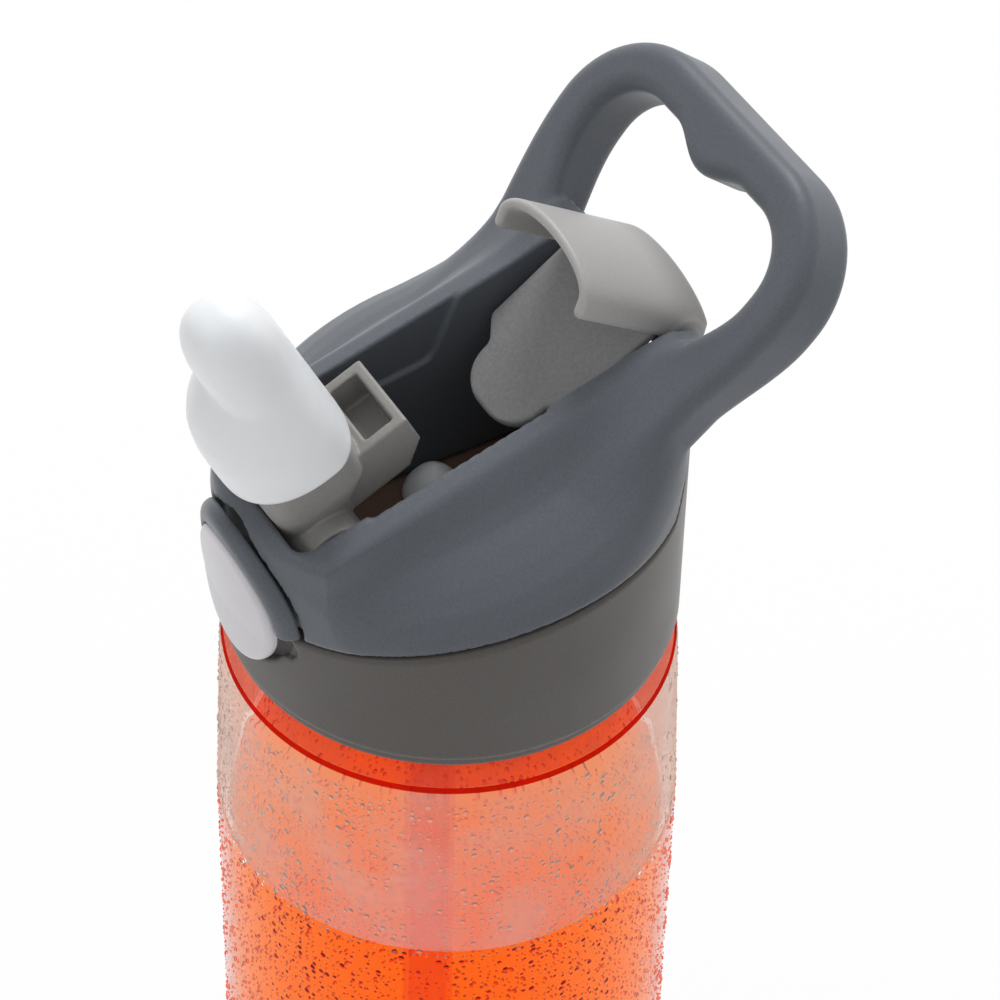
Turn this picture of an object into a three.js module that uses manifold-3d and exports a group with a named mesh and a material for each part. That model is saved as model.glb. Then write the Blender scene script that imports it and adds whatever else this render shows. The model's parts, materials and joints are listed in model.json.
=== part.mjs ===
// Sports water bottle: a clear body and a screw lid with a flip spout, a shield and a carry loop.
// Millimetres, +Z up, origin at the centre of the base. The button is at -Y and the carry loop at +Y.
import * as THREE from 'three';
import { mergeVertices } from 'three/addons/utils/BufferGeometryUtils.js';
import Module from 'manifold-3d';

const wasm = await Module();
wasm.setup();

// Shared fits
const CLEARANCE = 0.3;
const RUNNING_GAP = 0.4;
const CUT_MARGIN = 1;

// Bottle body
const BODY_RADIUS = 36.5;
const BODY_WALL = 2.2;
const BODY_HEIGHT = 185.6;
const BASE_THICKNESS = 3.6;
const BASE_CORNER = 6;
const SHOULDER_ROUND = 7;
const SHOULDER_TAPER = 1.2;
const SHOULDER_DROP = 40;
const NECK_RADIUS = 29.2;
const NECK_WALL = 2.2;

// Screw collar, heights from its lower edge
const COLLAR_RADIUS = 34.8;
const COLLAR_FOOT_STEP = 0.6;
const COLLAR_FOOT_HEIGHT = 1.8;
const COLLAR_WALL = 2.5;
const THREAD_GAP = 1;
const DECK_TOP = 14.5;
const DECK_THICKNESS = 2.2;
const GASKET_THICKNESS = 1.6;
const SEAM_FRONT = 17.5;
const SEAM_SIDE = 28.7;
const SEAM_REAR = 36;
const SEAM_BEVEL = 0.7;
const SEAM_CLIMB_FROM = -8;
const SEAM_CLIMB_TO = 112;
const SEAM_STEP_FROM = 128;
const SEAM_STEP_TO = 142;

// Housing
const RIM_HEIGHT = 45.7;
const RIM_SLOPE = 0.265;
const RIM_BAND = 4.6;
const RIM_EDGE = 0.6;
const RIM_FALL = 5;
const RIM_FALL_FROM = 27;
const RIM_FALL_TO = 39;
const SLOT_HALF_WIDTH = 12.8;
const SLOT_FRONT = 32.5;
const SLOT_REAR = 35.2;
const SLOT_FLOOR_FRONT = 29.6;
const SLOT_FLOOR_REAR = 29.8;
const SLOT_CORNER = 2.5;
const FRONT_BULGE = 1.9;
const REAR_BULGE = 4.6;
const REAR_SILL = 43;
const ROOT_FROM = 102;
const ROOT_FULL = 140;
const FRONT_SPAN = 45;
const REAR_SPAN = 40;
const RELIEF_DEPTH = 0.8;
const RELIEF_FOOT_FRONT = [-16, 34];
const RELIEF_FOOT_REAR = [4, 37];
const RELIEF_HEAD_FRONT = -22;
const RELIEF_HEAD_REAR = 9;

// Carry loop, lengths along its lean from the root
const LOOP_ROOT_Y = 26.9;
const LOOP_ROOT_Z = 47.4;
const LOOP_LEAN = 48.4;
const LOOP_HALF_ROOT = 22.5;
const LOOP_HALF_TOP = 25.7;
const LOOP_RISE = 31.2;
const LOOP_CORNER = 12.6;
const LOOP_SUNK = 12;
const LOOP_INSET = 1.5;
const LOOP_THICKNESS = 7.5;
const LOOP_BAND = 11.4;
const LOOP_FLARE = 3.5;
const LOOP_TAPER = 2;
const LOOP_FLARE_RISE = 16;
const FINGER_BUMP = 3;
const FINGER_BUMP_HALF = 8.9;

// Spout, in a frame at its pivot that leans with the nozzle
const SPOUT_PIVOT_Y = -25;
const SPOUT_PIVOT_Z = 32;
const SPOUT_LEAN = 25;
const SPOUT_PIN_RADIUS = 1.7;
const PIN_SEAT = 1.5;
const BARREL_RADIUS = 5.5;
const BARREL_LEFT = 8;
const BARREL_RIGHT = 11.8;
const PIN_SOCKET = 4.6;
const ARM_HALF_WIDTH = 9.4;
const ARM_STEP = 1;
const ARM_WAIST = 0.27;
const ARM_WAIST_DEPTH = 0.8;
const ARM_SHOULDER = 0.53;
const NOZZLE_OFFSET = 6.4;
const NOZZLE_HALF_WIDTH = 7.5;
const NOZZLE_FRONT = 6.6;
const NOZZLE_BACK = 6.7;
const SKIRT_BOTTOM = 15.4;
const SKIRT_HALF_WIDTH = 11.7;
const SKIRT_FRONT = 12.9;
const MOUTHPIECE_LENGTH = 30.5;
const MOUTHPIECE_WALL = 1.6;
const PLUG_SHARE = 0.235;
const SIP_SLIT = 5;
const SIP_SLIT_WIDTH = 1;
const FLOW_BORE = 2.2;
const BOX_HALF_WIDTH = 7;
const BOX_WALL = 1.6;
const BOX_BACK = 19.5;
const BOX_BOTTOM = 0.9;
const BOX_TOP = 9.9;
const BOX_CHAMFER = 3.5;

// Spout shield, in a frame at its pivot that lies along the hood
const SHIELD_PIVOT_Y = 31.5;
const SHIELD_PIVOT_Z = 48.5;
const SHIELD_LEAN = 35;
const SHIELD_PIN_RADIUS = 1.5;
const HOOD_HALF_WIDTH = 11.9;
const HOOD_RISE = 7.8;
const HOOD_WALL = 1.8;
const HOOD_FLANGE = 2.5;
const HOOD_FRONT = 24.5;
const HOOD_REAR = 1;
const HOOD_FOOT_FRONT = 22.1;
const LUG_RADIUS = 3.4;
const TONGUE_TOP = 3.7;
const TONGUE_HALF_WIDTH = 11.6;
const TONGUE_TIP_HALF_WIDTH = 8;
const TONGUE_LENGTH = 34;
const TONGUE_NOTCH = 23.5;
const TONGUE_STEP = 4;
const TONGUE_TIP_ROUND = 3;
const TONGUE_THICKNESS = 1.8;
const TONGUE_ANGLE = 69.5;

// Button
const BUTTON_TRAVEL = 1.5;
const FRAME_PROUD = 2;
const PAD_HALF_WIDTH = 10.5;
const PAD_HALF_HEIGHT = 11;
const PAD_CENTRE = 20;
const PAD_THICKNESS = 0.8;
const PAD_CROWN = 0.5;
const PAD_POCKET_MARGIN = 2.7;
const PLATE_THICKNESS = 0.8;
const FRAME_HALF_WIDTH = 13.2;
const FRAME_TOP = 35;
const BUTTON_STEM_RADIUS = 1.6;
const BUTTON_STEM_HEIGHT = 24;
const BUTTON_STEM_END = 31;
const SPRING_POCKET = 1.2;

// Straw and valves
const STRAW_RADIUS = 4;
const STRAW_WALL = 0.9;
const STRAW_Y = -3;
const STRAW_FOOT = 9;
const SPIGOT_LENGTH = 7;
const DUCT_WALL = 1.2;
const RISER_OFFSET = 2.7;
const FLOW_BOSS_HEIGHT = 4;
const FLOW_BOSS_WALL = 1.2;
const VENT_X = -7.5;
const VENT_Y = 1.4;
const VENT_STEM_RADIUS = 1.6;
const VENT_CAP_RADIUS = 4.8;
const VENT_CAP_HEIGHT = 6.2;
const VENT_BULB_LENGTH = 2.4;
const VENT_BULB_STEP = 0.9;

// Springs
const TORSION_WIRE = 0.7;
const TORSION_PITCH = 1.17;
const TORSION_TURNS = 3;
const TORSION_LEG = 4.5;
const BUTTON_WIRE = 0.4;
const BUTTON_TURNS = 2.5;
const WIRE_SIDES = 5;
const TURN_STEPS = 8;

// Facets and roundness
const ROUND_SEGMENTS = 64;
const SMALL_SEGMENTS = 24;
const LOFT_COLUMNS = 80;
const BOXY = 0.5;
const LOOP_BOXY = 0.42;
const SOFT_OVAL = 0.85;
const LEG_STEPS = 6;

// Worked-out places
const COLLAR_BASE = BODY_HEIGHT + RUNNING_GAP;
const DECK_UNDERSIDE = DECK_TOP - DECK_THICKNESS;
const GASKET_TOP = DECK_UNDERSIDE - CLEARANCE;
const NECK_TOP = GASKET_TOP - GASKET_THICKNESS - CLEARANCE;
const NECK_INNER = NECK_RADIUS - NECK_WALL;
const COLLAR_BORE = NECK_RADIUS + THREAD_GAP;
const COLLAR_INNER = COLLAR_RADIUS - COLLAR_WALL;
const SKIRT_RADIUS = COLLAR_INNER - CLEARANCE;
const PLATE_FRONT = CLEARANCE + PLATE_THICKNESS;
const DUCT_HALF_WIDTH = FLOW_BORE + DUCT_WALL;
const DUCT_UNDERSIDE = DECK_UNDERSIDE - 2 * FLOW_BORE - DUCT_WALL;
const radians = THREE.MathUtils.degToRad;
const { lerp } = THREE.MathUtils;

// Mesh and boolean helpers
function solid(geometry) {
  const bare = geometry.clone();
  bare.deleteAttribute('normal');
  bare.deleteAttribute('uv');
  const merged = mergeVertices(bare, 1e-4);
  const source = merged.index.array;
  const kept = [];
  for (let i = 0; i < source.length; i += 3) {
    const [a, b, c] = [source[i], source[i + 1], source[i + 2]];
    if (a !== b && b !== c && c !== a) kept.push(a, b, c);
  }
  const body = new wasm.Manifold(new wasm.Mesh({
    numProp: 3,
    vertProperties: Float32Array.from(merged.attributes.position.array),
    triVerts: Uint32Array.from(kept),
  }));
  if (body.volume() <= 0) throw new Error('a skin is inside out');
  return body;
}

function geometryOf(body) {
  const { vertProperties, triVerts } = body.getMesh();
  const geometry = new THREE.BufferGeometry();
  geometry.setAttribute('position', new THREE.BufferAttribute(Float32Array.from(vertProperties), 3));
  geometry.setIndex(new THREE.BufferAttribute(Uint32Array.from(triVerts), 1));
  geometry.computeVertexNormals();
  return geometry;
}

function part(name, body, finish) {
  const mesh = new THREE.Mesh(geometryOf(body), new THREE.MeshStandardMaterial(finish));
  mesh.name = name;
  return mesh;
}

// A profile of [radius, height] points turned about Z; it starts and ends on the axis or closes on itself
function revolve(profile, segments = ROUND_SEGMENTS) {
  const points = profile.map(([radius, height]) => new THREE.Vector2(radius, height));
  return new THREE.LatheGeometry(points, segments).rotateX(Math.PI / 2);
}

function ring(inner, outer, bottom, top, segments = ROUND_SEGMENTS) {
  return revolve([[inner, bottom], [outer, bottom], [outer, top], [inner, top], [inner, bottom]], segments);
}

function disc(radius, bottom, top, segments = SMALL_SEGMENTS) {
  return revolve([[0, bottom], [radius, bottom], [radius, top], [0, top]], segments);
}

function cylinderAlongX(radius, from, to) {
  const length = to - from;
  return new THREE.CylinderGeometry(radius, radius, length, SMALL_SEGMENTS)
    .rotateZ(-Math.PI / 2)
    .translate(from + length / 2, 0, 0);
}

function cylinderAlongY(radius, from, to) {
  const length = to - from;
  return new THREE.CylinderGeometry(radius, radius, length, SMALL_SEGMENTS)
    .translate(0, from + length / 2, 0);
}

function box(x0, x1, y0, y1, z0, z1) {
  return new THREE.BoxGeometry(x1 - x0, y1 - y0, z1 - z0)
    .translate((x0 + x1) / 2, (y0 + y1) / 2, (z0 + z1) / 2);
}

// A shape drawn in Y and Z, carried along X about the middle
function sidePrism(shape, halfWidth) {
  const swap = new THREE.Matrix4().set(0, 0, 1, -halfWidth, 1, 0, 0, 0, 0, 1, 0, 0, 0, 0, 0, 1);
  return solid(new THREE.ExtrudeGeometry(shape, { depth: 2 * halfWidth, bevelEnabled: false })
    .applyMatrix4(swap));
}

function polygon(points) {
  return new THREE.Shape(points.map(([a, b]) => new THREE.Vector2(a, b)));
}

function arc(centreX, centreY, radius, from, to, steps) {
  return Array.from({ length: steps + 1 }, (_, i) => {
    const angle = radians(from + ((to - from) * i) / steps);
    return [centreX + radius * Math.cos(angle), centreY + radius * Math.sin(angle)];
  });
}

// A skin over rings of points; closed joins the last ring to the first, otherwise both ends are capped
function loft(rings, closed = false) {
  const count = rings[0].length;
  const positions = rings.flat().flatMap((p) => [p.x, p.y, p.z]);
  const index = [];
  const last = closed ? rings.length : rings.length - 1;
  for (let i = 0; i < last; i += 1) {
    const lower = i * count;
    const upper = ((i + 1) % rings.length) * count;
    for (let j = 0; j < count; j += 1) {
      const k = (j + 1) % count;
      index.push(lower + j, lower + k, upper + k, lower + j, upper + k, upper + j);
    }
  }
  if (!closed) {
    for (let j = 1; j < count - 1; j += 1) {
      const top = (rings.length - 1) * count;
      index.push(0, j + 1, j, top, top + j, top + j + 1);
    }
  }
  const geometry = new THREE.BufferGeometry();
  geometry.setAttribute('position', new THREE.Float32BufferAttribute(positions, 3));
  geometry.setIndex(index);
  return geometry;
}

function rounded(angle, power) {
  return Math.sign(angle) * Math.abs(angle) ** power;
}

// A superellipse, round at power 1 and boxy near 0
function oval(halfWidth, back, front, height, power = 1, count = 32) {
  return Array.from({ length: count }, (_, i) => {
    const angle = (2 * Math.PI * i) / count;
    const depth = Math.sin(angle) > 0 ? back : front;
    return new THREE.Vector3(
      halfWidth * rounded(Math.cos(angle), power), depth * rounded(Math.sin(angle), power), height);
  });
}

function smoothstep(from, to, value) {
  return THREE.MathUtils.smoothstep(value, from, to);
}

// A bell of cosine squared, 1 at the centre and 0 past the half width, in degrees
function bell(angle, centre, half) {
  const away = Math.abs(angle - centre);
  return away < half ? Math.cos((away / half) * (Math.PI / 2)) ** 2 : 0;
}

// Degrees from the front, the same on both sides
function fromFront(turn) {
  const wrapped = THREE.MathUtils.euclideanModulo(turn, 360);
  return Math.min(wrapped, 360 - wrapped);
}

function polar(turn, radius, height) {
  return new THREE.Vector3(radius * Math.sin(radians(turn)), -radius * Math.cos(radians(turn)), height);
}

// The line where housing and collar meet climbs from the button to the sides and steps up at the back
function seamHeight(turn) {
  const angle = fromFront(turn);
  const climb = (SEAM_SIDE - SEAM_FRONT) * smoothstep(SEAM_CLIMB_FROM, SEAM_CLIMB_TO, angle);
  return SEAM_FRONT + climb + (SEAM_REAR - SEAM_SIDE) * smoothstep(SEAM_STEP_FROM, SEAM_STEP_TO, angle);
}

// The rim climbs towards the back and falls away behind the shield
function rimHeight(y) {
  return RIM_HEIGHT + RIM_SLOPE * y - RIM_FALL * smoothstep(RIM_FALL_FROM, RIM_FALL_TO, y);
}

// How far the slot's rounded outline, grown outwards, lies from the axis in one direction
function slotReach(turn, front, rear, grow = 0) {
  const direction = polar(turn, 1, 0);
  const middle = (rear - front) / 2;
  const halfLength = (rear + front) / 2;
  let near = 0;
  let far = front + rear;
  for (let i = 0; i < 40; i += 1) {
    const reach = (near + far) / 2;
    const outX = Math.abs(direction.x * reach) - SLOT_HALF_WIDTH + SLOT_CORNER;
    const outY = Math.abs(direction.y * reach - middle) - halfLength + SLOT_CORNER;
    const outside = Math.hypot(Math.max(outX, 0), Math.max(outY, 0)) + Math.min(Math.max(outX, outY), 0);
    if (outside < SLOT_CORNER + grow) near = reach;
    else far = reach;
  }
  return near;
}

// Bottle body
function bottleBody() {
  const inner = BODY_RADIUS - BODY_WALL;
  const shoulderInner = SHOULDER_ROUND + BODY_WALL;
  const shoulderCentre = BODY_RADIUS - SHOULDER_TAPER - SHOULDER_ROUND;
  const taperFrom = BODY_HEIGHT - SHOULDER_DROP;
  const outside = [
    [0, 0],
    ...arc(BODY_RADIUS - BASE_CORNER, BASE_CORNER, BASE_CORNER, -90, 0, 4),
    [BODY_RADIUS, taperFrom],
    ...arc(shoulderCentre, BODY_HEIGHT - SHOULDER_ROUND, SHOULDER_ROUND, 0, 90, 4),
    [NECK_RADIUS, BODY_HEIGHT],
    [NECK_RADIUS, COLLAR_BASE + NECK_TOP],
  ];
  const inside = [
    [NECK_INNER, COLLAR_BASE + NECK_TOP],
    [NECK_INNER, BODY_HEIGHT - BODY_WALL],
    ...arc(shoulderCentre - BODY_WALL, BODY_HEIGHT - shoulderInner, SHOULDER_ROUND, 90, 0, 3),
    [inner, taperFrom],
    ...arc(inner - BASE_CORNER, BASE_THICKNESS + BASE_CORNER, BASE_CORNER, 0, -90, 3),
    [0, BASE_THICKNESS],
  ];
  return solid(revolve([...outside, ...inside]));
}

// Soft ring between the neck and the deck
function neckGasket() {
  return solid(ring(NECK_INNER, NECK_RADIUS + CLEARANCE, GASKET_TOP - GASKET_THICKNESS, GASKET_TOP));
}

// The button's outlines, seen from the front
function ellipseOutline(halfWidth, halfHeight, centre, grow) {
  const shape = new THREE.Shape();
  shape.absellipse(0, centre, halfWidth + grow, halfHeight + grow, 0, 2 * Math.PI);
  return shape;
}

function frameOutline(grow) {
  return ellipseOutline(FRAME_HALF_WIDTH, FRAME_TOP - PAD_CENTRE, PAD_CENTRE, grow);
}

function padOutline(grow) {
  return ellipseOutline(PAD_HALF_WIDTH, PAD_HALF_HEIGHT, PAD_CENTRE, grow);
}

// A front outline carried towards the viewer from the axis
function frontPrism(shape) {
  const depth = 2 * COLLAR_RADIUS;
  return solid(new THREE.ExtrudeGeometry(shape, { depth, bevelEnabled: false, curveSegments: 20 })
    .rotateX(Math.PI / 2));
}

// The front is upright on the collar and leans out from the seam to the rim
function frontSkin(height) {
  const lean = Math.max(0, height - SEAM_FRONT) / (rimHeight(-SLOT_FRONT) - SEAM_FRONT);
  return COLLAR_RADIUS + FRONT_BULGE * lean;
}

// A shell that follows the front, between two distances from its skin; the outside may swell over the pad
function frontShell(inner, outer, crown = 0) {
  const steps = 16;
  const heights = Array.from({ length: steps + 1 }, (_, i) => (2 * FRAME_TOP * i) / steps);
  const swell = (height) => crown * Math.max(0, 1 - ((height - PAD_CENTRE) / PAD_HALF_HEIGHT) ** 2);
  const outside = heights.map((height) => [frontSkin(height) + outer + swell(height), height]);
  const inside = heights.map((height) => [frontSkin(height) + inner, height]).reverse();
  return solid(revolve([...outside, ...inside, outside[0]], LOFT_COLUMNS));
}

// The button spring sits in a pocket behind the button's back plate
function buttonSpringRadius() {
  return BUTTON_STEM_RADIUS + CLEARANCE + BUTTON_WIRE;
}

function springSeat() {
  return BUTTON_TRAVEL + 2 * CLEARANCE + SPRING_POCKET - frontSkin(BUTTON_STEM_HEIGHT);
}

// Screw collar with the deck that closes the bottle and the duct that takes the drink from straw to spout
function lidCollar() {
  const foot = COLLAR_RADIUS - COLLAR_FOOT_STEP;
  const boreTop = DECK_UNDERSIDE + DECK_THICKNESS / 2;
  const rings = Array.from({ length: LOFT_COLUMNS }, (_, i) => {
    const turn = (360 * i) / LOFT_COLUMNS;
    const seam = seamHeight(turn);
    return [
      [COLLAR_BORE, 0], [foot, 0], [foot, COLLAR_FOOT_HEIGHT],
      [COLLAR_RADIUS, COLLAR_FOOT_HEIGHT + COLLAR_FOOT_STEP],
      [COLLAR_RADIUS, seam - SEAM_BEVEL], [COLLAR_RADIUS - SEAM_BEVEL, seam],
      [COLLAR_INNER, seam], [COLLAR_INNER, boreTop], [COLLAR_BORE, DECK_UNDERSIDE],
    ].map(([radius, height]) => polar(turn, radius, height)).reverse();
  });
  const spigotRadius = STRAW_RADIUS - STRAW_WALL - CLEARANCE;
  const spigotFoot = DUCT_UNDERSIDE - SPIGOT_LENGTH;
  const bossTop = DECK_TOP + FLOW_BOSS_HEIGHT;
  const riserY = SPOUT_PIVOT_Y + RISER_OFFSET;
  const ductHeight = DECK_UNDERSIDE - FLOW_BORE;
  const deck = solid(disc(COLLAR_INNER + CLEARANCE, DECK_UNDERSIDE, DECK_TOP, LOFT_COLUMNS));
  const duct = solid(box(-DUCT_HALF_WIDTH, DUCT_HALF_WIDTH,
    riserY - DUCT_HALF_WIDTH, STRAW_Y + DUCT_HALF_WIDTH, DUCT_UNDERSIDE, boreTop));
  const spigot = solid(disc(spigotRadius, spigotFoot, ductHeight).translate(0, STRAW_Y, 0));
  const boss = disc(FLOW_BORE + FLOW_BOSS_WALL, DECK_UNDERSIDE, bossTop).translate(0, SPOUT_PIVOT_Y, 0);
  const spigotBore = disc(spigotRadius - STRAW_WALL, spigotFoot - CUT_MARGIN, ductHeight);
  const ductBore = cylinderAlongY(FLOW_BORE, riserY - FLOW_BORE, STRAW_Y + FLOW_BORE)
    .translate(0, 0, ductHeight);
  const riserBore = disc(FLOW_BORE, ductHeight, boreTop + CUT_MARGIN / 2);
  const bossBore = disc(FLOW_BORE, boreTop - CUT_MARGIN / 2, bossTop + CUT_MARGIN);
  const ventBore = disc(VENT_STEM_RADIUS + CLEARANCE, DECK_UNDERSIDE - CUT_MARGIN, DECK_TOP + CUT_MARGIN);
  const padPocket = frontPrism(padOutline(PAD_POCKET_MARGIN))
    .intersect(frontShell(-BUTTON_TRAVEL, COLLAR_RADIUS));
  return solid(loft(rings, true)).add(deck).add(duct).add(spigot).add(solid(boss))
    .subtract(solid(spigotBore.translate(0, STRAW_Y, 0)))
    .subtract(solid(ductBore))
    .subtract(solid(riserBore.translate(0, riserY, 0)))
    .subtract(solid(bossBore.translate(0, SPOUT_PIVOT_Y, 0)))
    .subtract(solid(ventBore.translate(VENT_X, VENT_Y, 0)))
    .subtract(padPocket);
}

// Housing: rows of its section from the skirt over the hip and the valley to the ridge.
// Each row is [share from ridge to outside, drop below the rim] at the side, at the loop's root, at the ends,
// then how much of the ends' outward lean it takes
const HOUSING_ROWS = [
  [1.00, 17.0, 1.00, 16.5, 1.00, 16.0, 0.2],
  [0.93, 14.8, 0.98, 12.6, 1.00, 13.0, 0.35],
  [0.80, 12.0, 0.92, 9.6, 1.00, 10.6, 0.45],
  [0.62, 9.8, 0.83, 7.4, 1.00, 8.6, 0.55],
  [0.44, 8.2, 0.70, 5.6, 1.00, 6.9, 0.65],
  [0.28, 7.1, 0.54, 4.2, 1.00, 5.4, 0.75],
  [0.17, 5.4, 0.36, 3.0, 1.00, 3.9, 0.85],
  [0.08, 3.2, 0.18, 2.1, 1.00, 2.4, 1.0],
  [0.00, 1.5, 0.00, 1.4, 0.00, 1.3, 1.0],
];

// The flat rim band inside the ridge: rows are [share from slot to ridge, drop below the rim]
const RIM_ROWS = [[0.86, 0.9], [0.14, 0.2], [0, 0.5]];

function housingShell() {
  const floor = DECK_TOP + CLEARANCE;
  const rings = Array.from({ length: LOFT_COLUMNS }, (_, i) => {
    const turn = (360 * i) / LOFT_COLUMNS;
    const angle = fromFront(turn);
    const seam = seamHeight(turn) + CLEARANCE;
    const slotTop = slotReach(turn, SLOT_FRONT, SLOT_REAR);
    const slotFloor = slotReach(turn, SLOT_FLOOR_FRONT, SLOT_FLOOR_REAR);
    const frontShare = bell(angle, 0, FRONT_SPAN);
    const rearShare = bell(angle, 180, REAR_SPAN);
    const endShare = Math.max(frontShare, rearShare);
    const rootShare = smoothstep(ROOT_FROM, ROOT_FULL, angle);
    const bulge = FRONT_BULGE * frontShare + REAR_BULGE * rearShare;
    const bandReach = slotReach(turn, SLOT_FRONT, SLOT_REAR, RIM_BAND);
    const ridge = Math.min(bandReach, COLLAR_RADIUS + bulge - RIM_EDGE);
    const section = [
      polar(turn, SKIRT_RADIUS, floor),
      polar(turn, SKIRT_RADIUS, seam),
      polar(turn, COLLAR_RADIUS - SEAM_BEVEL, seam),
      polar(turn, COLLAR_RADIUS, seam + SEAM_BEVEL),
    ];
    for (const [sideRow, sideDrop, rootRow, rootDrop, endRow, endDrop, lean] of HOUSING_ROWS) {
      const share = lerp(lerp(sideRow, rootRow, rootShare), endRow, endShare);
      const drop = lerp(lerp(sideDrop, rootDrop, rootShare), endDrop, endShare);
      const point = polar(turn, lerp(ridge, COLLAR_RADIUS + bulge * lean, share), 0);
      point.z = Math.max(rimHeight(point.y) - drop, seam + 2 * SEAM_BEVEL);
      section.push(point);
    }
    for (const [share, drop] of RIM_ROWS) {
      const point = polar(turn, lerp(slotTop, ridge, share), 0);
      section.push(point.setZ(rimHeight(point.y) - drop));
    }
    section.push(polar(turn, slotFloor, floor));
    return section.reverse();
  });
  return solid(loft(rings, true));
}

// Carry loop: a rounded band along an arch, with a finger bump in its top bar and legs that flare inwards
function carryLoop() {
  const lean = radians(LOOP_LEAN);
  const along = new THREE.Vector3(0, Math.cos(lean), Math.sin(lean));
  const across = new THREE.Vector3(0, -Math.sin(lean), Math.cos(lean));
  const root = new THREE.Vector3(0, LOOP_ROOT_Y, LOOP_ROOT_Z);
  const half = [
    [LOOP_HALF_ROOT - LOOP_INSET, -LOOP_SUNK], [LOOP_HALF_ROOT, 0],
    ...arc(LOOP_HALF_TOP - LOOP_CORNER, LOOP_RISE - LOOP_CORNER, LOOP_CORNER, 0, 90, 4),
  ];
  const mirrored = half.map(([x, v]) => [-x, v]).reverse();
  const path = new THREE.CatmullRomCurve3(
    [...half, [0, LOOP_RISE], ...mirrored].map(([x, v]) => new THREE.Vector3(x, v, 0)), false, 'centripetal');
  const steps = 48;
  const sides = 16;
  const rings = Array.from({ length: steps + 1 }, (_, i) => {
    const point = path.getPointAt(i / steps);
    const tangent = path.getTangentAt(i / steps);
    const outward = new THREE.Vector3(tangent.y, -tangent.x, 0);
    const bump = point.y > LOOP_RISE / 2 ? FINGER_BUMP * bell(point.x, 0, FINGER_BUMP_HALF) : 0;
    const rootShare = 1 - smoothstep(0, LOOP_FLARE_RISE, point.y);
    const inward = bump + LOOP_FLARE * rootShare;
    const behind = LOOP_BAND / 2 - LOOP_TAPER * rootShare;
    return Array.from({ length: sides }, (_unused, j) => {
      const angle = (2 * Math.PI * j) / sides;
      const flare = Math.cos(angle) < 0 ? inward : 0;
      const thick = rounded(Math.cos(angle), LOOP_BOXY) * (LOOP_THICKNESS / 2) - flare;
      const wide = -rounded(Math.sin(angle), LOOP_BOXY) * (Math.sin(angle) > 0 ? behind : LOOP_BAND / 2);
      const flat = point.clone().addScaledVector(outward, thick);
      return root.clone()
        .add(new THREE.Vector3(flat.x, 0, 0))
        .addScaledVector(along, flat.y)
        .addScaledVector(across, wide);
    });
  });
  return solid(loft(rings));
}

// A shallow finger of relief in each slot wall beside the folded spout
function wallRelief(side) {
  const depth = RELIEF_DEPTH + CUT_MARGIN;
  const outline = polygon([
    RELIEF_FOOT_FRONT, RELIEF_FOOT_REAR,
    [RELIEF_HEAD_REAR, rimHeight(RELIEF_HEAD_REAR) + CUT_MARGIN],
    [RELIEF_HEAD_FRONT, rimHeight(RELIEF_HEAD_FRONT) + CUT_MARGIN],
  ]);
  return sidePrism(outline, depth / 2).translate(side * (SLOT_HALF_WIDTH + RELIEF_DEPTH - depth / 2), 0, 0);
}

function lidHousing() {
  const sillFront = SHIELD_PIVOT_Y - SHIELD_PIN_RADIUS;
  const sillTop = 2 * rimHeight(SLOT_REAR);
  const sill = box(-SLOT_HALF_WIDTH, SLOT_HALF_WIDTH, sillFront, 2 * SLOT_REAR, REAR_SILL, sillTop);
  const pinEnd = SLOT_HALF_WIDTH + PIN_SEAT + CLEARANCE;
  const spoutBore = cylinderAlongX(SPOUT_PIN_RADIUS + CLEARANCE, -pinEnd, pinEnd);
  const shieldBore = cylinderAlongX(SHIELD_PIN_RADIUS + CLEARANCE, -pinEnd, pinEnd);
  const recessShell = frontShell(-BUTTON_TRAVEL - 2 * CLEARANCE, COLLAR_RADIUS);
  const buttonRecess = frontPrism(frameOutline(CLEARANCE)).intersect(recessShell);
  const stemBore = cylinderAlongY(BUTTON_STEM_RADIUS + CLEARANCE, -COLLAR_RADIUS, -SLOT_FRONT / 2);
  const springRadius = buttonSpringRadius() + BUTTON_WIRE / 2 + CLEARANCE;
  const springPocket = cylinderAlongY(springRadius, -COLLAR_RADIUS, springSeat());
  return housingShell()
    .subtract(solid(sill))
    .add(carryLoop())
    .subtract(wallRelief(1))
    .subtract(wallRelief(-1))
    .subtract(solid(spoutBore.translate(0, SPOUT_PIVOT_Y, SPOUT_PIVOT_Z)))
    .subtract(solid(shieldBore.translate(0, SHIELD_PIVOT_Y, SHIELD_PIVOT_Z)))
    .subtract(buttonRecess)
    .subtract(solid(stemBore.translate(0, 0, BUTTON_STEM_HEIGHT)))
    .subtract(solid(springPocket.translate(0, 0, BUTTON_STEM_HEIGHT)));
}

// Mouthpiece: rows are [share of the length, share of the skirt in the section, share of the full section]
const MOUTHPIECE_ROWS = [
  [0, 1, 1], [0.12, 1, 1], [0.235, 0.97, 1], [0.33, 0.88, 1], [0.41, 0.68, 1], [0.46, 0.45, 1],
  [0.5, 0.18, 1], [0.53, 0, 1], [0.72, 0, 0.99], [0.85, 0, 0.94], [0.94, 0, 0.78], [1, 0, 0.5],
];

function mouthpieceLoft(inset, top) {
  const rings = MOUTHPIECE_ROWS.filter(([share]) => share <= top).map(([share, skirt, full]) => {
    const halfWidth = lerp(NOZZLE_HALF_WIDTH, SKIRT_HALF_WIDTH, skirt) * full - inset;
    const front = lerp(NOZZLE_FRONT, SKIRT_FRONT, skirt) * full - inset;
    const back = NOZZLE_BACK * full - inset;
    const foot = share === 0 && inset > 0 ? SKIRT_BOTTOM - CUT_MARGIN : SKIRT_BOTTOM;
    return oval(halfWidth, back, front, foot + share * MOUTHPIECE_LENGTH, SOFT_OVAL);
  });
  return solid(loft(rings).translate(0, NOZZLE_OFFSET, 0));
}

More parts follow.
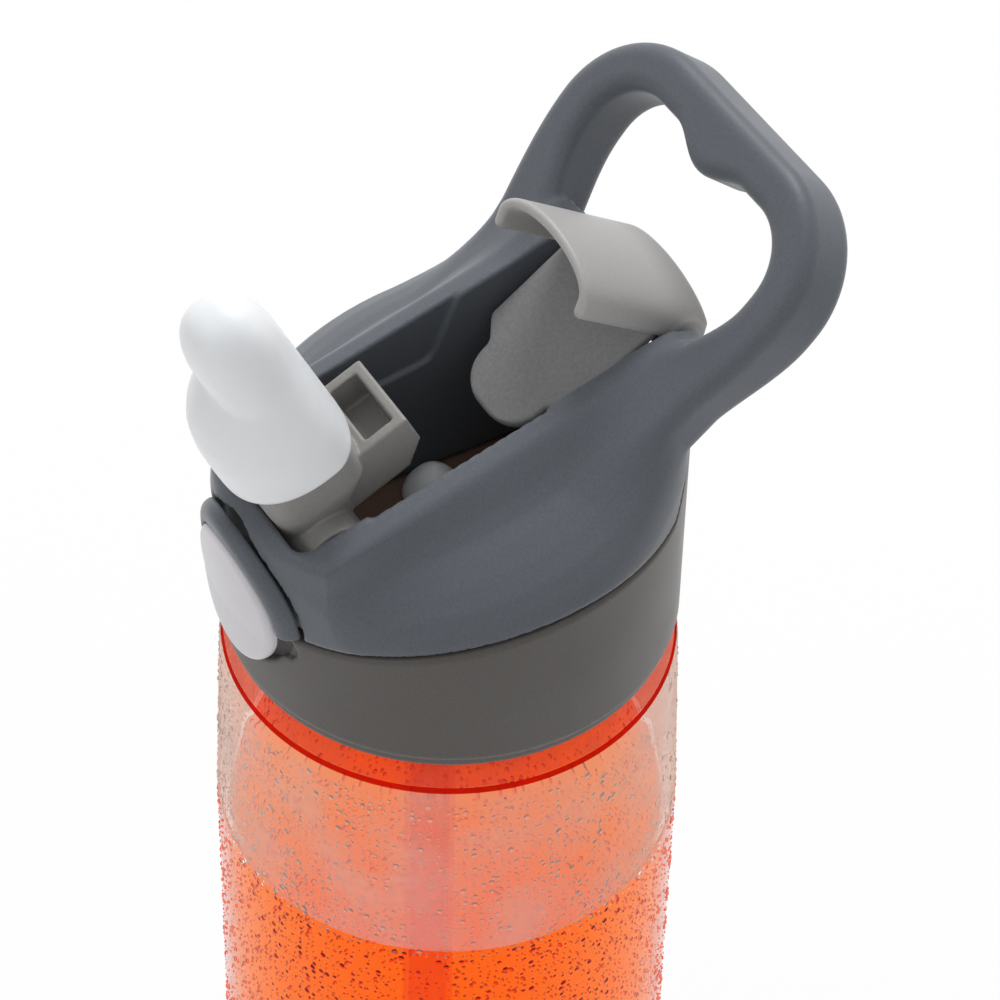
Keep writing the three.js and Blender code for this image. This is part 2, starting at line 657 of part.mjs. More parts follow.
function spoutMouthpiece() {
  const tip = SKIRT_BOTTOM + MOUTHPIECE_LENGTH;
  const sip = box(-SIP_SLIT / 2, SIP_SLIT / 2, NOZZLE_OFFSET - SIP_SLIT_WIDTH / 2,
    NOZZLE_OFFSET + SIP_SLIT_WIDTH / 2, tip - MOUTHPIECE_LENGTH / 2, tip + CUT_MARGIN);
  return mouthpieceLoft(0, 1).subtract(mouthpieceLoft(MOUTHPIECE_WALL, 0.85)).subtract(solid(sip));
}

// Spout arm: rows are [height, half width, middle, half depth] from the pivot barrel up to the mouthpiece
function spoutArm() {
  const armBack = NOZZLE_OFFSET + NOZZLE_BACK - MOUTHPIECE_WALL;
  const armFront = BARREL_RADIUS - ARM_STEP;
  const middle = (armBack - armFront) / 2;
  const depth = (armBack + armFront) / 2;
  const neckTop = SKIRT_BOTTOM - CLEARANCE;
  const rows = [
    [0, BARREL_LEFT, 0, BARREL_RADIUS],
    [neckTop * ARM_WAIST, BARREL_LEFT, middle / 2, depth * ARM_WAIST_DEPTH],
    [neckTop * ARM_SHOULDER, ARM_HALF_WIDTH, middle, depth],
    [neckTop, ARM_HALF_WIDTH, middle, depth],
  ];
  const neck = loft(rows.map(([height, half, centre, deep]) => oval(half, deep, deep, height, BOXY)
    .map((p) => p.setY(p.y + centre))));
  const plug = mouthpieceLoft(MOUTHPIECE_WALL + CLEARANCE, PLUG_SHARE);
  const barrel = cylinderAlongX(BARREL_RADIUS, -BARREL_LEFT, BARREL_RIGHT);
  const tab = sidePrism(polygon([
    [middle, BOX_BOTTOM], [BOX_BACK - BOX_CHAMFER, BOX_BOTTOM], [BOX_BACK, BOX_BOTTOM + BOX_CHAMFER],
    [BOX_BACK, BOX_TOP], [middle, BOX_TOP],
  ]), BOX_HALF_WIDTH);
  const pocketFront = armBack + BOX_WALL;
  const pocket = box(BOX_WALL - BOX_HALF_WIDTH, BOX_HALF_WIDTH - BOX_WALL, pocketFront, BOX_BACK - BOX_WALL,
    BOX_BOTTOM + BOX_CHAMFER, BOX_TOP + CUT_MARGIN);
  const socketRadius = SPOUT_PIN_RADIUS + CLEARANCE;
  const rightSocket = cylinderAlongX(socketRadius, BARREL_RIGHT - PIN_SOCKET, BARREL_RIGHT + CUT_MARGIN);
  const leftSocket = cylinderAlongX(socketRadius, -BARREL_LEFT - CUT_MARGIN, PIN_SOCKET - BARREL_LEFT);
  const riser = disc(FLOW_BORE, 0, SKIRT_BOTTOM + MOUTHPIECE_LENGTH);
  const inlet = disc(FLOW_BORE, -BARREL_RADIUS - CUT_MARGIN, 0).rotateX(-radians(SPOUT_LEAN));
  return solid(neck).add(plug).add(solid(barrel)).add(tab).subtract(solid(pocket))
    .subtract(solid(rightSocket)).subtract(solid(leftSocket))
    .subtract(solid(riser)).subtract(solid(inlet));
}

function spoutPin(side) {
  const end = SLOT_HALF_WIDTH + PIN_SEAT;
  const inner = (side > 0 ? BARREL_RIGHT : BARREL_LEFT) - PIN_SOCKET + CLEARANCE;
  return solid(side > 0
    ? cylinderAlongX(SPOUT_PIN_RADIUS, inner, end)
    : cylinderAlongX(SPOUT_PIN_RADIUS, -end, -inner));
}

// Shield: an arched hood, a tongue that the folding spout presses, and two lugs on the pin.
// Its frame has +Y to the back along the hood and +Z through the crest
function archOutline(inset) {
  const half = HOOD_HALF_WIDTH - inset;
  const foot = -CLEARANCE;
  const spring = foot + HOOD_FLANGE;
  const shape = new THREE.Shape();
  shape.moveTo(half, foot - inset);
  shape.lineTo(half, spring);
  shape.absellipse(0, spring, half, HOOD_RISE - inset - spring, 0, Math.PI);
  shape.lineTo(-half, foot - inset);
  shape.closePath();
  return shape;
}

function archBody(inset, rear, front) {
  return solid(new THREE.ExtrudeGeometry(archOutline(inset), {
    depth: front + rear, bevelEnabled: false, curveSegments: 20,
  }).rotateX(Math.PI / 2).translate(0, rear, 0));
}

// One side of the tongue runs down to a step and a rounded tip, then the other side runs back
function tongueOutline() {
  const [wide, narrow, notch, tip] = [TONGUE_HALF_WIDTH, TONGUE_TIP_HALF_WIDTH, TONGUE_NOTCH, TONGUE_LENGTH];
  const bend = notch + TONGUE_STEP / 2;
  const step = notch + TONGUE_STEP;
  const round = tip - TONGUE_TIP_ROUND;
  const shape = new THREE.Shape();
  shape.moveTo(wide, 0);
  shape.lineTo(wide, notch);
  shape.bezierCurveTo(wide, bend, narrow, bend, narrow, step);
  shape.bezierCurveTo(narrow, round, narrow / 2, tip, 0, tip);
  shape.bezierCurveTo(-narrow / 2, tip, -narrow, round, -narrow, step);
  shape.bezierCurveTo(-narrow, bend, -wide, bend, -wide, notch);
  shape.lineTo(-wide, 0);
  return shape;
}

function spoutShield() {
  const rear = LUG_RADIUS;
  const hollow = archBody(HOOD_WALL, rear + CUT_MARGIN, HOOD_FRONT + CUT_MARGIN);
  const hood = archBody(0, rear, HOOD_FRONT).subtract(hollow);
  const far = 4 * HOOD_FRONT;
  const frontCut = sidePrism(polygon([
    [-HOOD_FRONT, HOOD_RISE], [-HOOD_FOOT_FRONT, -CLEARANCE], [-HOOD_FOOT_FRONT, -far],
    [-far, -far], [-far, HOOD_RISE],
  ]), far);
  const rearCut = sidePrism(polygon([
    [-HOOD_REAR, HOOD_RISE + CUT_MARGIN], [rear, rear], [far, rear], [far, far], [-HOOD_REAR, far],
  ]), far);
  const plate = { depth: TONGUE_THICKNESS, bevelEnabled: false, curveSegments: 6 };
  const tongue = solid(new THREE.ExtrudeGeometry(tongueOutline(), plate)
    .rotateX(-Math.PI / 2 - radians(90 - TONGUE_ANGLE))
    .translate(0, -TONGUE_TOP, HOOD_RISE))
    .intersect(archBody(CLEARANCE, far, far).add(solid(box(-far, far, -far, far, -far, 0))));
  const wall = HOOD_HALF_WIDTH - HOOD_WALL;
  const lugs = solid(cylinderAlongX(LUG_RADIUS, wall, HOOD_HALF_WIDTH))
    .add(solid(cylinderAlongX(LUG_RADIUS, -HOOD_HALF_WIDTH, -wall)));
  const bore = cylinderAlongX(SHIELD_PIN_RADIUS + CLEARANCE, -far, far);
  return hood.subtract(frontCut).subtract(rearCut).add(tongue).add(lugs).subtract(solid(bore));
}

function shieldPin() {
  const end = SLOT_HALF_WIDTH + PIN_SEAT;
  return solid(cylinderAlongX(SHIELD_PIN_RADIUS, -end, end));
}

// A coil about X with a straight leg at each end
class TorsionCoil extends THREE.Curve {
  constructor(radius, start) {
    super();
    const turn = 2 * Math.PI * TORSION_TURNS;
    this.radius = radius;
    this.start = start;
    this.coil = Math.hypot(turn * radius, TORSION_TURNS * TORSION_PITCH);
    this.total = this.coil + 2 * TORSION_LEG;
    this.turn = turn;
  }

  getPoint(t, target = new THREE.Vector3()) {
    const travel = t * this.total - TORSION_LEG;
    const share = THREE.MathUtils.clamp(travel / this.coil, 0, 1);
    const over = travel - share * this.coil;
    const angle = -this.turn * share;
    const x = this.start + share * TORSION_TURNS * TORSION_PITCH;
    return target.set(x, this.radius * Math.cos(angle), this.radius * Math.sin(angle) - over);
  }
}

class CompressionCoil extends THREE.Curve {
  constructor(radius, from, to, turns) {
    super();
    Object.assign(this, { radius, from, to, turns });
  }

  getPoint(t, target = new THREE.Vector3()) {
    const angle = 2 * Math.PI * this.turns * t;
    const along = lerp(this.from, this.to, t);
    return target.set(this.radius * Math.cos(angle), along, this.radius * Math.sin(angle));
  }
}

// The least clear gap between one wire and itself, away from its own neighbourhood
function leastGap(curve, wire) {
  const samples = 400;
  const points = curve.getSpacedPoints(samples);
  const ownLength = 3 * wire;
  const near = Math.ceil((ownLength * samples) / curve.getLength());
  let least = Infinity;
  for (let i = 0; i <= samples; i += 1) {
    for (let j = i + near; j <= samples; j += 1) least = Math.min(least, points[i].distanceTo(points[j]));
  }
  return least - wire;
}

function wireSolid(name, curve, wire, turns) {
  console.log(`${name}: least gap to itself ${leastGap(curve, wire).toFixed(2)} mm`);
  const section = polygon(arc(0, 0, wire / 2, 0, 360, WIRE_SIDES).slice(0, -1));
  const steps = Math.ceil(turns * TURN_STEPS) + LEG_STEPS;
  return solid(new THREE.ExtrudeGeometry(section, { steps, bevelEnabled: false, extrudePath: curve }));
}

function spoutSpring() {
  const radius = SPOUT_PIN_RADIUS + 2 * CLEARANCE + TORSION_WIRE;
  const start = -(BARREL_LEFT + CLEARANCE + TORSION_WIRE / 2 + TORSION_TURNS * TORSION_PITCH);
  return wireSolid('spout_spring', new TorsionCoil(radius, start), TORSION_WIRE, TORSION_TURNS + 1);
}

function shieldSpring() {
  const radius = SHIELD_PIN_RADIUS + CLEARANCE + TORSION_WIRE;
  const start = -(TORSION_TURNS * TORSION_PITCH) / 2;
  return wireSolid('shield_spring', new TorsionCoil(radius, start), TORSION_WIRE, TORSION_TURNS + 1);
}

function buttonSpring() {
  const from = -frontSkin(BUTTON_STEM_HEIGHT) + BUTTON_WIRE / 2;
  const to = springSeat() - CLEARANCE / 2 - BUTTON_WIRE / 2;
  const coil = new CompressionCoil(buttonSpringRadius(), from, to, BUTTON_TURNS);
  return wireSolid('button_spring', coil, BUTTON_WIRE, BUTTON_TURNS).translate(0, 0, BUTTON_STEM_HEIGHT);
}

// Button: a brow-shaped frame on a back plate, and the pad set into it
function buttonFrame() {
  const browTurn = THREE.MathUtils.radToDeg(Math.asin(FRAME_HALF_WIDTH / COLLAR_RADIUS));
  const floor = seamHeight(browTurn) + 2 * CLEARANCE;
  const below = solid(box(-BODY_RADIUS, BODY_RADIUS, -2 * BODY_RADIUS, 0, -floor, floor));
  const plateShell = frontShell(CLEARANCE, PLATE_FRONT);
  const brow = frontPrism(frameOutline(0)).intersect(frontShell(-CLEARANCE, FRAME_PROUD))
    .subtract(frontPrism(padOutline(CLEARANCE)));
  const backing = frontPrism(padOutline(2 * PLATE_THICKNESS)).intersect(plateShell);
  const plate = frontPrism(padOutline(-PLATE_THICKNESS)).intersect(plateShell);
  const stemFront = -frontSkin(BUTTON_STEM_HEIGHT) - PLATE_FRONT + CLEARANCE;
  const stem = cylinderAlongY(BUTTON_STEM_RADIUS, stemFront, -BUTTON_STEM_END);
  return brow.add(backing).subtract(below).add(plate).add(solid(stem.translate(0, 0, BUTTON_STEM_HEIGHT)));
}

function buttonPad() {
  const back = PLATE_FRONT + CLEARANCE;
  return frontPrism(padOutline(0)).intersect(frontShell(back, back + PAD_THICKNESS, PAD_CROWN));
}

// Straw, vent valve and spout seal
function straw() {
  const top = DUCT_UNDERSIDE - CLEARANCE;
  return solid(ring(STRAW_RADIUS - STRAW_WALL, STRAW_RADIUS, STRAW_FOOT - COLLAR_BASE, top, SMALL_SEGMENTS)
    .translate(0, STRAW_Y, 0));
}

function ventValve() {
  const seat = DECK_TOP + CLEARANCE;
  const bulbTop = DECK_UNDERSIDE - CLEARANCE;
  const dome = arc(0, 0, 1, 10, 80, 6).map(([a, b]) => [VENT_CAP_RADIUS * a, seat + VENT_CAP_HEIGHT * b]);
  const profile = [
    [0, bulbTop - VENT_BULB_LENGTH], [VENT_STEM_RADIUS, bulbTop - VENT_BULB_LENGTH],
    [VENT_STEM_RADIUS + VENT_BULB_STEP, bulbTop], [VENT_STEM_RADIUS, bulbTop],
    [VENT_STEM_RADIUS, seat], [VENT_CAP_RADIUS, seat], ...dome, [0, seat + VENT_CAP_HEIGHT],
  ];
  return solid(revolve(profile, SMALL_SEGMENTS).translate(VENT_X, VENT_Y, 0));
}

function spoutSeal() {
  const bottom = DECK_TOP + FLOW_BOSS_HEIGHT + CLEARANCE;
  const top = SPOUT_PIVOT_Z - BARREL_RADIUS - CLEARANCE;
  return solid(ring(FLOW_BORE, FLOW_BORE + FLOW_BOSS_WALL, bottom, top, SMALL_SEGMENTS)
    .translate(0, SPOUT_PIVOT_Y, 0));
}

// Finishes
const SLATE = { color: '#5f656c', roughness: 0.65, metalness: 0 };
const WARM_GREY = { color: '#5b5a57', roughness: 0.6, metalness: 0 };
const ARM_GREY = { color: '#8d8b89', roughness: 0.5, metalness: 0 };
const SHIELD_GREY = { color: '#a3a09d', roughness: 0.4, metalness: 0 };
const PALE_LILAC = { color: '#d9d6da', roughness: 0.45, metalness: 0 };
const SILICONE = { color: '#eef1f3', roughness: 0.5, metalness: 0 };
const CLEAR = { color: '#dfe9ea', roughness: 0.08, metalness: 0, transparent: true, opacity: 0.4 };
const STEEL = { color: '#b9bcc0', roughness: 0.3, metalness: 1 };

// Assembly
const spout = new THREE.Group();
spout.position.set(0, SPOUT_PIVOT_Y, SPOUT_PIVOT_Z);
spout.rotation.x = radians(SPOUT_LEAN);
spout.add(part('spout_arm', spoutArm(), ARM_GREY));
spout.add(part('spout_mouthpiece', spoutMouthpiece(), SILICONE));
spout.add(part('spout_pin_left', spoutPin(-1), STEEL));
spout.add(part('spout_pin_right', spoutPin(1), STEEL));
spout.add(part('spout_spring', spoutSpring(), STEEL));

const shield = new THREE.Group();
shield.position.set(0, SHIELD_PIVOT_Y, SHIELD_PIVOT_Z);
shield.rotation.x = -radians(SHIELD_LEAN);
shield.add(part('spout_shield', spoutShield(), SHIELD_GREY));
shield.add(part('shield_pin', shieldPin(), STEEL));
shield.add(part('shield_spring', shieldSpring(), STEEL));

const lid = new THREE.Group();
lid.position.z = COLLAR_BASE;
lid.add(part('lid_collar', lidCollar(), WARM_GREY));
lid.add(part('lid_housing', lidHousing(), SLATE));
lid.add(part('neck_gasket', neckGasket(), SILICONE));
lid.add(part('vent_valve', ventValve(), SILICONE));
lid.add(part('spout_seal', spoutSeal(), SILICONE));
lid.add(part('straw', straw(), CLEAR));
lid.add(part('button_frame', buttonFrame(), SLATE));
lid.add(part('button_pad', buttonPad(), PALE_LILAC));
lid.add(part('button_spring', buttonSpring(), STEEL));
lid.add(spout, shield);

const bottle = new THREE.Group();
bottle.add(part('bottle_body', bottleBody(), CLEAR));
bottle.add(lid);

export default bottle;
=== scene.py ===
"""Looks of a sports water bottle with a flip spout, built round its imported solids.

Sizes are in millimetres and become metres when a mesh is made. The frame is the solids' own: Z up from the
middle of the base, the button at -Y and the carry loop at +Y.
"""

import json
import logging
import math
from collections.abc import Callable
from dataclasses import dataclass
from enum import Enum

import bmesh
import bpy
import numpy as np
from mathutils import Matrix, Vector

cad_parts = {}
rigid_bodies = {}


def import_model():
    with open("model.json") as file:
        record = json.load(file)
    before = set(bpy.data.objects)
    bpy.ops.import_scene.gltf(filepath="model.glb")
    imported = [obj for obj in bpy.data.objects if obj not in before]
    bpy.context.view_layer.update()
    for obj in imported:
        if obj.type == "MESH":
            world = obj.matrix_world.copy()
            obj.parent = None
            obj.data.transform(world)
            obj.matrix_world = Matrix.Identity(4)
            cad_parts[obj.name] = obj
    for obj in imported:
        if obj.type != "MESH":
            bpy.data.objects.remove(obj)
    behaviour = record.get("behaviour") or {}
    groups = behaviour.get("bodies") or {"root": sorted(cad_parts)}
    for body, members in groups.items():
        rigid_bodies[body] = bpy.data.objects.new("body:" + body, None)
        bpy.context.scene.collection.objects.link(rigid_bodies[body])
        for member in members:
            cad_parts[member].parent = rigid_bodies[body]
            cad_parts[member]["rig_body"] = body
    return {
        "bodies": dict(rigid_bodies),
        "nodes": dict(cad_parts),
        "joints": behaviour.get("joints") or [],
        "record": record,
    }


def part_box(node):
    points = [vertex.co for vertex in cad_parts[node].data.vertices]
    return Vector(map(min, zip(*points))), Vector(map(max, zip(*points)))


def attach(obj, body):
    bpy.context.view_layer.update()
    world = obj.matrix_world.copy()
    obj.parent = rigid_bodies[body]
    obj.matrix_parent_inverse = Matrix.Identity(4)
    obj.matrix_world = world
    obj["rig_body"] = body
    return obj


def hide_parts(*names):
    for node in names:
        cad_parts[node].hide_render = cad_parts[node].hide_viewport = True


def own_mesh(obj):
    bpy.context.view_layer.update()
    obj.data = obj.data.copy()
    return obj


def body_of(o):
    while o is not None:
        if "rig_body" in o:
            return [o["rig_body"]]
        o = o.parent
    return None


LOG = logging.getLogger("bottle")
MM = 0.001
LID_BASE = 186.0
# Places in the lid's frame that several pieces share: y and z of two axes, and two heights
SPOUT_AXIS = (-25.0, 32.0)
SHIELD_AXIS = (31.5, 48.5)
BUTTON_HEIGHT = 20.0
STEM_HEIGHT = 24.0
Field = Callable[[np.ndarray, np.ndarray, np.ndarray], np.ndarray]


class Body(str, Enum):
    """The moving bodies that pieces without a solid of their own ride on."""

    BOTTLE = "bottle"
    LID = "lid"
    SHIELD = "shield"


# Helpers for numbers and places


def linear(colour: str) -> tuple[float, float, float, float]:
    """Turn an sRGB hex colour into the linear values that a shader reads.

    Args:
        colour: A colour such as "#5f656c".

    Returns:
        Red, green, blue and an alpha of 1.
    """
    share = np.array([int(colour[i : i + 2], 16) for i in (1, 3, 5)]) / 255
    value = np.where(share <= 0.04045, share / 12.92, ((share + 0.055) / 1.055) ** 2.4)
    return (float(value[0]), float(value[1]), float(value[2]), 1.0)


def per_metre(size_mm: float) -> float:
    """Scale of a texture on Object coordinates whose features are this many millimetres wide."""
    return 1000.0 / size_mm


def arc(centre: tuple[float, float], radius: float, start: float, end: float, steps: int) -> np.ndarray:
    """Points on a circle between two angles in degrees.

    Args:
        centre: Middle of the circle.
        radius: Its radius.
        start: First angle.
        end: Last angle.
        steps: Number of points.

    Returns:
        An array of [steps, 2] points.
    """
    angle = np.radians(np.linspace(start, end, steps))
    return np.stack([centre[0] + radius * np.cos(angle), centre[1] + radius * np.sin(angle)], axis=-1)


def full_turn(steps: int) -> np.ndarray:
    """Angles of even steps once round, in radians."""
    return np.linspace(0, 2 * np.pi, steps, endpoint=False)


def wire_section(wire: float, sides: int) -> np.ndarray:
    """Offsets of a round wire's section, by its diameter."""
    around = full_turn(sides)
    return wire / 2 * np.stack([np.cos(around), np.sin(around)], axis=-1)


def smoothstep(low: float, high: float, value: np.ndarray) -> np.ndarray:
    """The cubic step from 0 at low to 1 at high."""
    share = np.clip((value - low) / (high - low), 0, 1)
    return share * share * (3 - 2 * share)


def signed_power(value: np.ndarray, power: float) -> np.ndarray:
    """The value's size to a power, with its sign kept, for superellipses."""
    return np.sign(value) * np.abs(value) ** power


def blend(first: np.ndarray, second: np.ndarray, share: np.ndarray) -> np.ndarray:
    """A mix of two values, the first at a share of 0 and the second at 1."""
    return first + (second - first) * share


def bell(value: np.ndarray, centre: float, half: float) -> np.ndarray:
    """A cosine-squared bell, 1 at its centre and 0 past its half width."""
    return np.cos(np.clip(np.abs(value - centre) / half, 0, 1) * np.pi / 2) ** 2


def soft_max(first: np.ndarray, second: np.ndarray, edge: float) -> np.ndarray:
    """The larger of two fields, with the edge between them rounded over this width in millimetres."""
    share = np.maximum(edge - np.abs(first - second), 0) / edge
    return np.maximum(first, second) + share * share * edge / 4


def soft_min(first: np.ndarray, second: np.ndarray, edge: float) -> np.ndarray:
    """The smaller of two fields, with the corner between them filled over this width in millimetres."""
    return -soft_max(-first, -second, edge)


def rounded_box(a: np.ndarray, b: np.ndarray, half_a: np.ndarray | float, half_b: np.ndarray | float,
                corner: float) -> np.ndarray:
    """Distance from a rounded rectangle about the origin, negative inside.

    Args:
        a: Places along its first side.
        b: Places along its second side.
        half_a: Half its first side.
        half_b: Half its second side.
        corner: Radius of its corners.

    Returns:
        The distances.
    """
    over_a, over_b = np.abs(a) - half_a + corner, np.abs(b) - half_b + corner
    outside = np.hypot(np.maximum(over_a, 0), np.maximum(over_b, 0))
    return outside + np.minimum(np.maximum(over_a, over_b), 0) - corner


def oval(a: np.ndarray, b: np.ndarray, half_a: float, half_b: float) -> np.ndarray:
    """About the distance from an ellipse round the origin, negative inside: reach less 1 over its slope."""
    reach = np.hypot(a / half_a, b / half_b)
    return reach * (reach - 1) / (np.hypot(a / half_a**2, b / half_b**2) + 1e-6)


def eased(table: list[tuple[float, float]], width: float) -> Callable[[np.ndarray], np.ndarray]:
    """A smooth curve through a table of points.

    Args:
        table: Points in rising order.
        width: How far along the first value each point's corner is rounded.

    Returns:
        A function of the first value.
    """
    given = np.array(table, dtype=float)
    step = width / 24
    fine = np.arange(given[0, 0] - width, given[-1, 0] + width, step)
    kernel = np.hanning(27)[1:-1]
    raw = np.interp(fine, given[:, 0], given[:, 1])
    smooth = np.convolve(np.pad(raw, 12, mode="edge"), kernel / kernel.sum(), mode="valid")
    return lambda value: np.interp(value, fine, smooth)


@dataclass(frozen=True)
class Placement:
    """A local frame: a lean about the X axis, then a move to its pivot."""

    origin: tuple[float, float, float] = (0.0, 0.0, 0.0)
    lean: float = 0.0

    def apply(self, points: np.ndarray) -> np.ndarray:
        """Carry local points into the bottle's frame.

        Args:
            points: An array of [..., 3] points in millimetres.

        Returns:
            The same points in the bottle's frame.
        """
        cos, sin = math.cos(math.radians(self.lean)), math.sin(math.radians(self.lean))
        turn = np.array([[1, 0, 0], [0, cos, -sin], [0, sin, cos]])
        return points @ turn.T + np.array(self.origin)


SPOUT = Placement((0, SPOUT_AXIS[0], LID_BASE + SPOUT_AXIS[1]), 25)
SHIELD = Placement((0, SHIELD_AXIS[0], LID_BASE + SHIELD_AXIS[1]), -35)
LID = Placement((0, 0, LID_BASE))


# Helpers for meshes


def add_object(name: str, data: bpy.types.ID) -> bpy.types.Object:
    """Put a new object with this mesh, camera or lamp into the scene."""
    made = bpy.data.objects.new(name, data)
    bpy.context.scene.collection.objects.link(made)
    return made


def grid_faces(rows: int, columns: int, close_rows: bool = False, close_columns: bool = True) -> np.ndarray:
    """Quads between neighbouring points of a grid that is stored row by row.

    Args:
        rows: Number of rows.
        columns: Number of points in a row.
        close_rows: Whether the last row joins the first.
        close_columns: Whether each row is a closed ring.

    Returns:
        An array of [faces, 4] point numbers.
    """
    row = np.arange(rows if close_rows else rows - 1)
    column = np.arange(columns if close_columns else columns - 1)
    i, j = np.meshgrid(row, column, indexing="ij")
    up, right = (i + 1) % rows, (j + 1) % columns
    quads = [i * columns + j, i * columns + right, up * columns + right, up * columns + j]
    return np.stack(quads, axis=-1).reshape(-1, 4)


def mesh_piece(name: str, points: np.ndarray, faces: list, sharp: float = 35.0,
               tidy: bool = True) -> bpy.types.Object:
    """Make a smooth-shaded object at the origin from points in millimetres.

    Args:
        name: The piece's name.
        points: An array of [..., 3] points.
        faces: Point numbers of each face.
        sharp: Angle in degrees past which an edge stays crisp.
        tidy: Whether points at one place are merged and all faces turned outwards.

    Returns:
        The new object.
    """
    mesh = bpy.data.meshes.new(name)
    mesh.from_pydata((points.reshape(-1, 3) * MM).tolist(), [], faces)
    if tidy:
        shape = bmesh.new()
        shape.from_mesh(mesh)
        bmesh.ops.remove_doubles(shape, verts=shape.verts, dist=1e-7)
        bmesh.ops.recalc_face_normals(shape, faces=shape.faces)
        shape.to_mesh(mesh)
        shape.free()
    mesh.polygons.foreach_set("use_smooth", np.ones(len(mesh.polygons), dtype=bool))
    mesh.set_sharp_from_angle(angle=math.radians(sharp))
    return add_object(name, mesh)


def field_surface(name: str, field: Field, low: tuple[float, float, float], high: tuple[float, float, float],
                  step: float, place: Placement) -> bpy.types.Object:
    """Skin where a field is zero.

    Every cell of a grid that the skin passes through gets one point, at the mean of its crossed edges, and
    every crossed edge joins its four cells by a face. A few steps along the field's slope then set the points
    on the skin.

    Args:
        name: The piece's name.
        field: A function of x, y and z that is negative inside.
        low: Lowest corner of the grid.
        high: Highest corner of the grid.
        step: Size of a cell.
        place: The frame that the field is in.

    Returns:
        The new object.
    """
    value = field(*np.meshgrid(*(np.arange(a, b + step, step) for a, b in zip(low, high)), indexing="ij"))
    inside = value < 0
    size = np.array(value.shape) - 1
    corners_of = np.array([(i, j, k) for i in (0, 1) for j in (0, 1) for k in (0, 1)])
    filled = sum(
        inside[i : size[0] + i, j : size[1] + j, k : size[2] + k].astype(np.int8) for i, j, k in corners_of)
    crossed = (filled > 0) & (filled < 8)
    cells = np.argwhere(crossed)
    number = np.full(crossed.shape, -1)
    number[crossed] = np.arange(len(cells))
    at = np.stack([value[tuple((cells + corner).T)] for corner in corners_of], axis=-1)
    total, count = np.zeros((len(cells), 3)), np.zeros((len(cells), 1))
    pairs = [(a, b) for a in range(8) for b in range(a + 1, 8)]
    for a, b in [(a, b) for a, b in pairs if np.abs(corners_of[a] - corners_of[b]).sum() == 1]:
        hit = ((at[:, a] < 0) != (at[:, b] < 0))[:, None]
        share = at[:, a : a + 1] / np.where(hit, at[:, a : a + 1] - at[:, b : b + 1], 1)
        total += np.where(hit, corners_of[a] + share * (corners_of[b] - corners_of[a]), 0)
        count += hit
    points = np.array(low) + step * (cells + total / count)
    for _ in range(3):
        ways = np.eye(3) * step / 4
        slope = np.stack([field(*(points + way).T) - field(*(points - way).T) for way in ways], axis=-1)
        slope *= 2 / step
        move = field(*points.T)[:, None] * slope / (slope**2).sum(axis=1, keepdims=True).clip(1e-6)
        points -= np.clip(move, -step / 2, step / 2)
    faces = []
    for axis in range(3):
        order = (axis, (axis + 1) % 3, (axis + 2) % 3)
        near, far = inside.transpose(order)[:-1, 1:-1, 1:-1], inside.transpose(order)[1:, 1:-1, 1:-1]
        i, j, k = np.nonzero(near != far)
        cell = number.transpose(order)
        quad = np.stack([cell[i, j, k], cell[i, j + 1, k], cell[i, j + 1, k + 1], cell[i, j, k + 1]], axis=-1)
        faces += np.where(near[i, j, k][:, None], quad, quad[:, ::-1]).tolist()
    return mesh_piece(name, place.apply(points), faces, 80, tidy=False)


def lathe(name: str, profile: np.ndarray, columns: int, place: Placement, closed: bool = False,
          axis: str = "Z") -> bpy.types.Object:
    """Turn a profile of radius and height about an axis.

    A point at angle a is (radius cos a, radius sin a, height).

    Args:
        name: The piece's name.
        profile: An array of [rows, 2] radii and heights.
        columns: Number of steps round the axis.
        place: Where the axis stands.
        closed: Whether the profile closes on itself instead of ending on the axis.
        axis: "Z", or "X" for a pin.

    Returns:
        The new object.
    """
    angle = full_turn(columns)
    radius, height = profile[:, :1], profile[:, 1:]
    round_x, round_y = radius * np.cos(angle), radius * np.sin(angle)
    along = np.broadcast_to(height, round_x.shape)
    order = [round_x, round_y, along] if axis == "Z" else [along, round_x, round_y]
    points = place.apply(np.stack(order, axis=-1))
    return mesh_piece(name, points, grid_faces(len(profile), columns, close_rows=closed).tolist())


def sweep(name: str, path: np.ndarray, section: np.ndarray,
          axis: tuple[float, float, float]) -> bpy.types.Object:
    """Carry a section along an open path and cap its ends.

    The section's first direction lies across the path and the axis, and its second across the path and the
    first.

    Args:
        name: The piece's name.
        path: An array of [steps, 3] points.
        section: An array of [sides, 2] offsets.
        axis: A direction that the path never runs along.

    Returns:
        The new object.
    """
    tangent = np.gradient(path, axis=0)
    tangent /= np.linalg.norm(tangent, axis=1, keepdims=True)
    first = np.cross(np.array(axis, dtype=float), tangent)
    first /= np.linalg.norm(first, axis=1, keepdims=True)
    second = np.cross(tangent, first)
    points = path[:, None] + section[None, :, :1] * first[:, None] + section[None, :, 1:] * second[:, None]
    steps, sides = points.shape[:2]
    faces = grid_faces(steps, sides).tolist()
    faces += [list(range(sides))[::-1], list(range((steps - 1) * sides, steps * sides))]
    return mesh_piece(name, points, faces, 50)


def relax(points: np.ndarray, edges: np.ndarray, rounds: int) -> np.ndarray:
    """Round a dense mesh without shrinking it.

    Each round moves every point half-way to the mean of its neighbours and then a little further back out.

    Args:
        points: An array of [points, 3].
        edges: An array of [edges, 2] point numbers.
        rounds: How often it is done.

    Returns:
        The relaxed points.
    """
    count = len(points)
    degree = np.bincount(edges.ravel(), minlength=count)[:, None].clip(1)
    moved = points.copy()
    for weight in [0.5, -0.52] * rounds:
        totals = [
            np.bincount(edges[:, 0], moved[edges[:, 1], k], count)
            + np.bincount(edges[:, 1], moved[edges[:, 0], k], count)
            for k in range(3)
        ]
        moved += weight * (np.stack(totals, axis=-1) / degree - moved)
    return moved


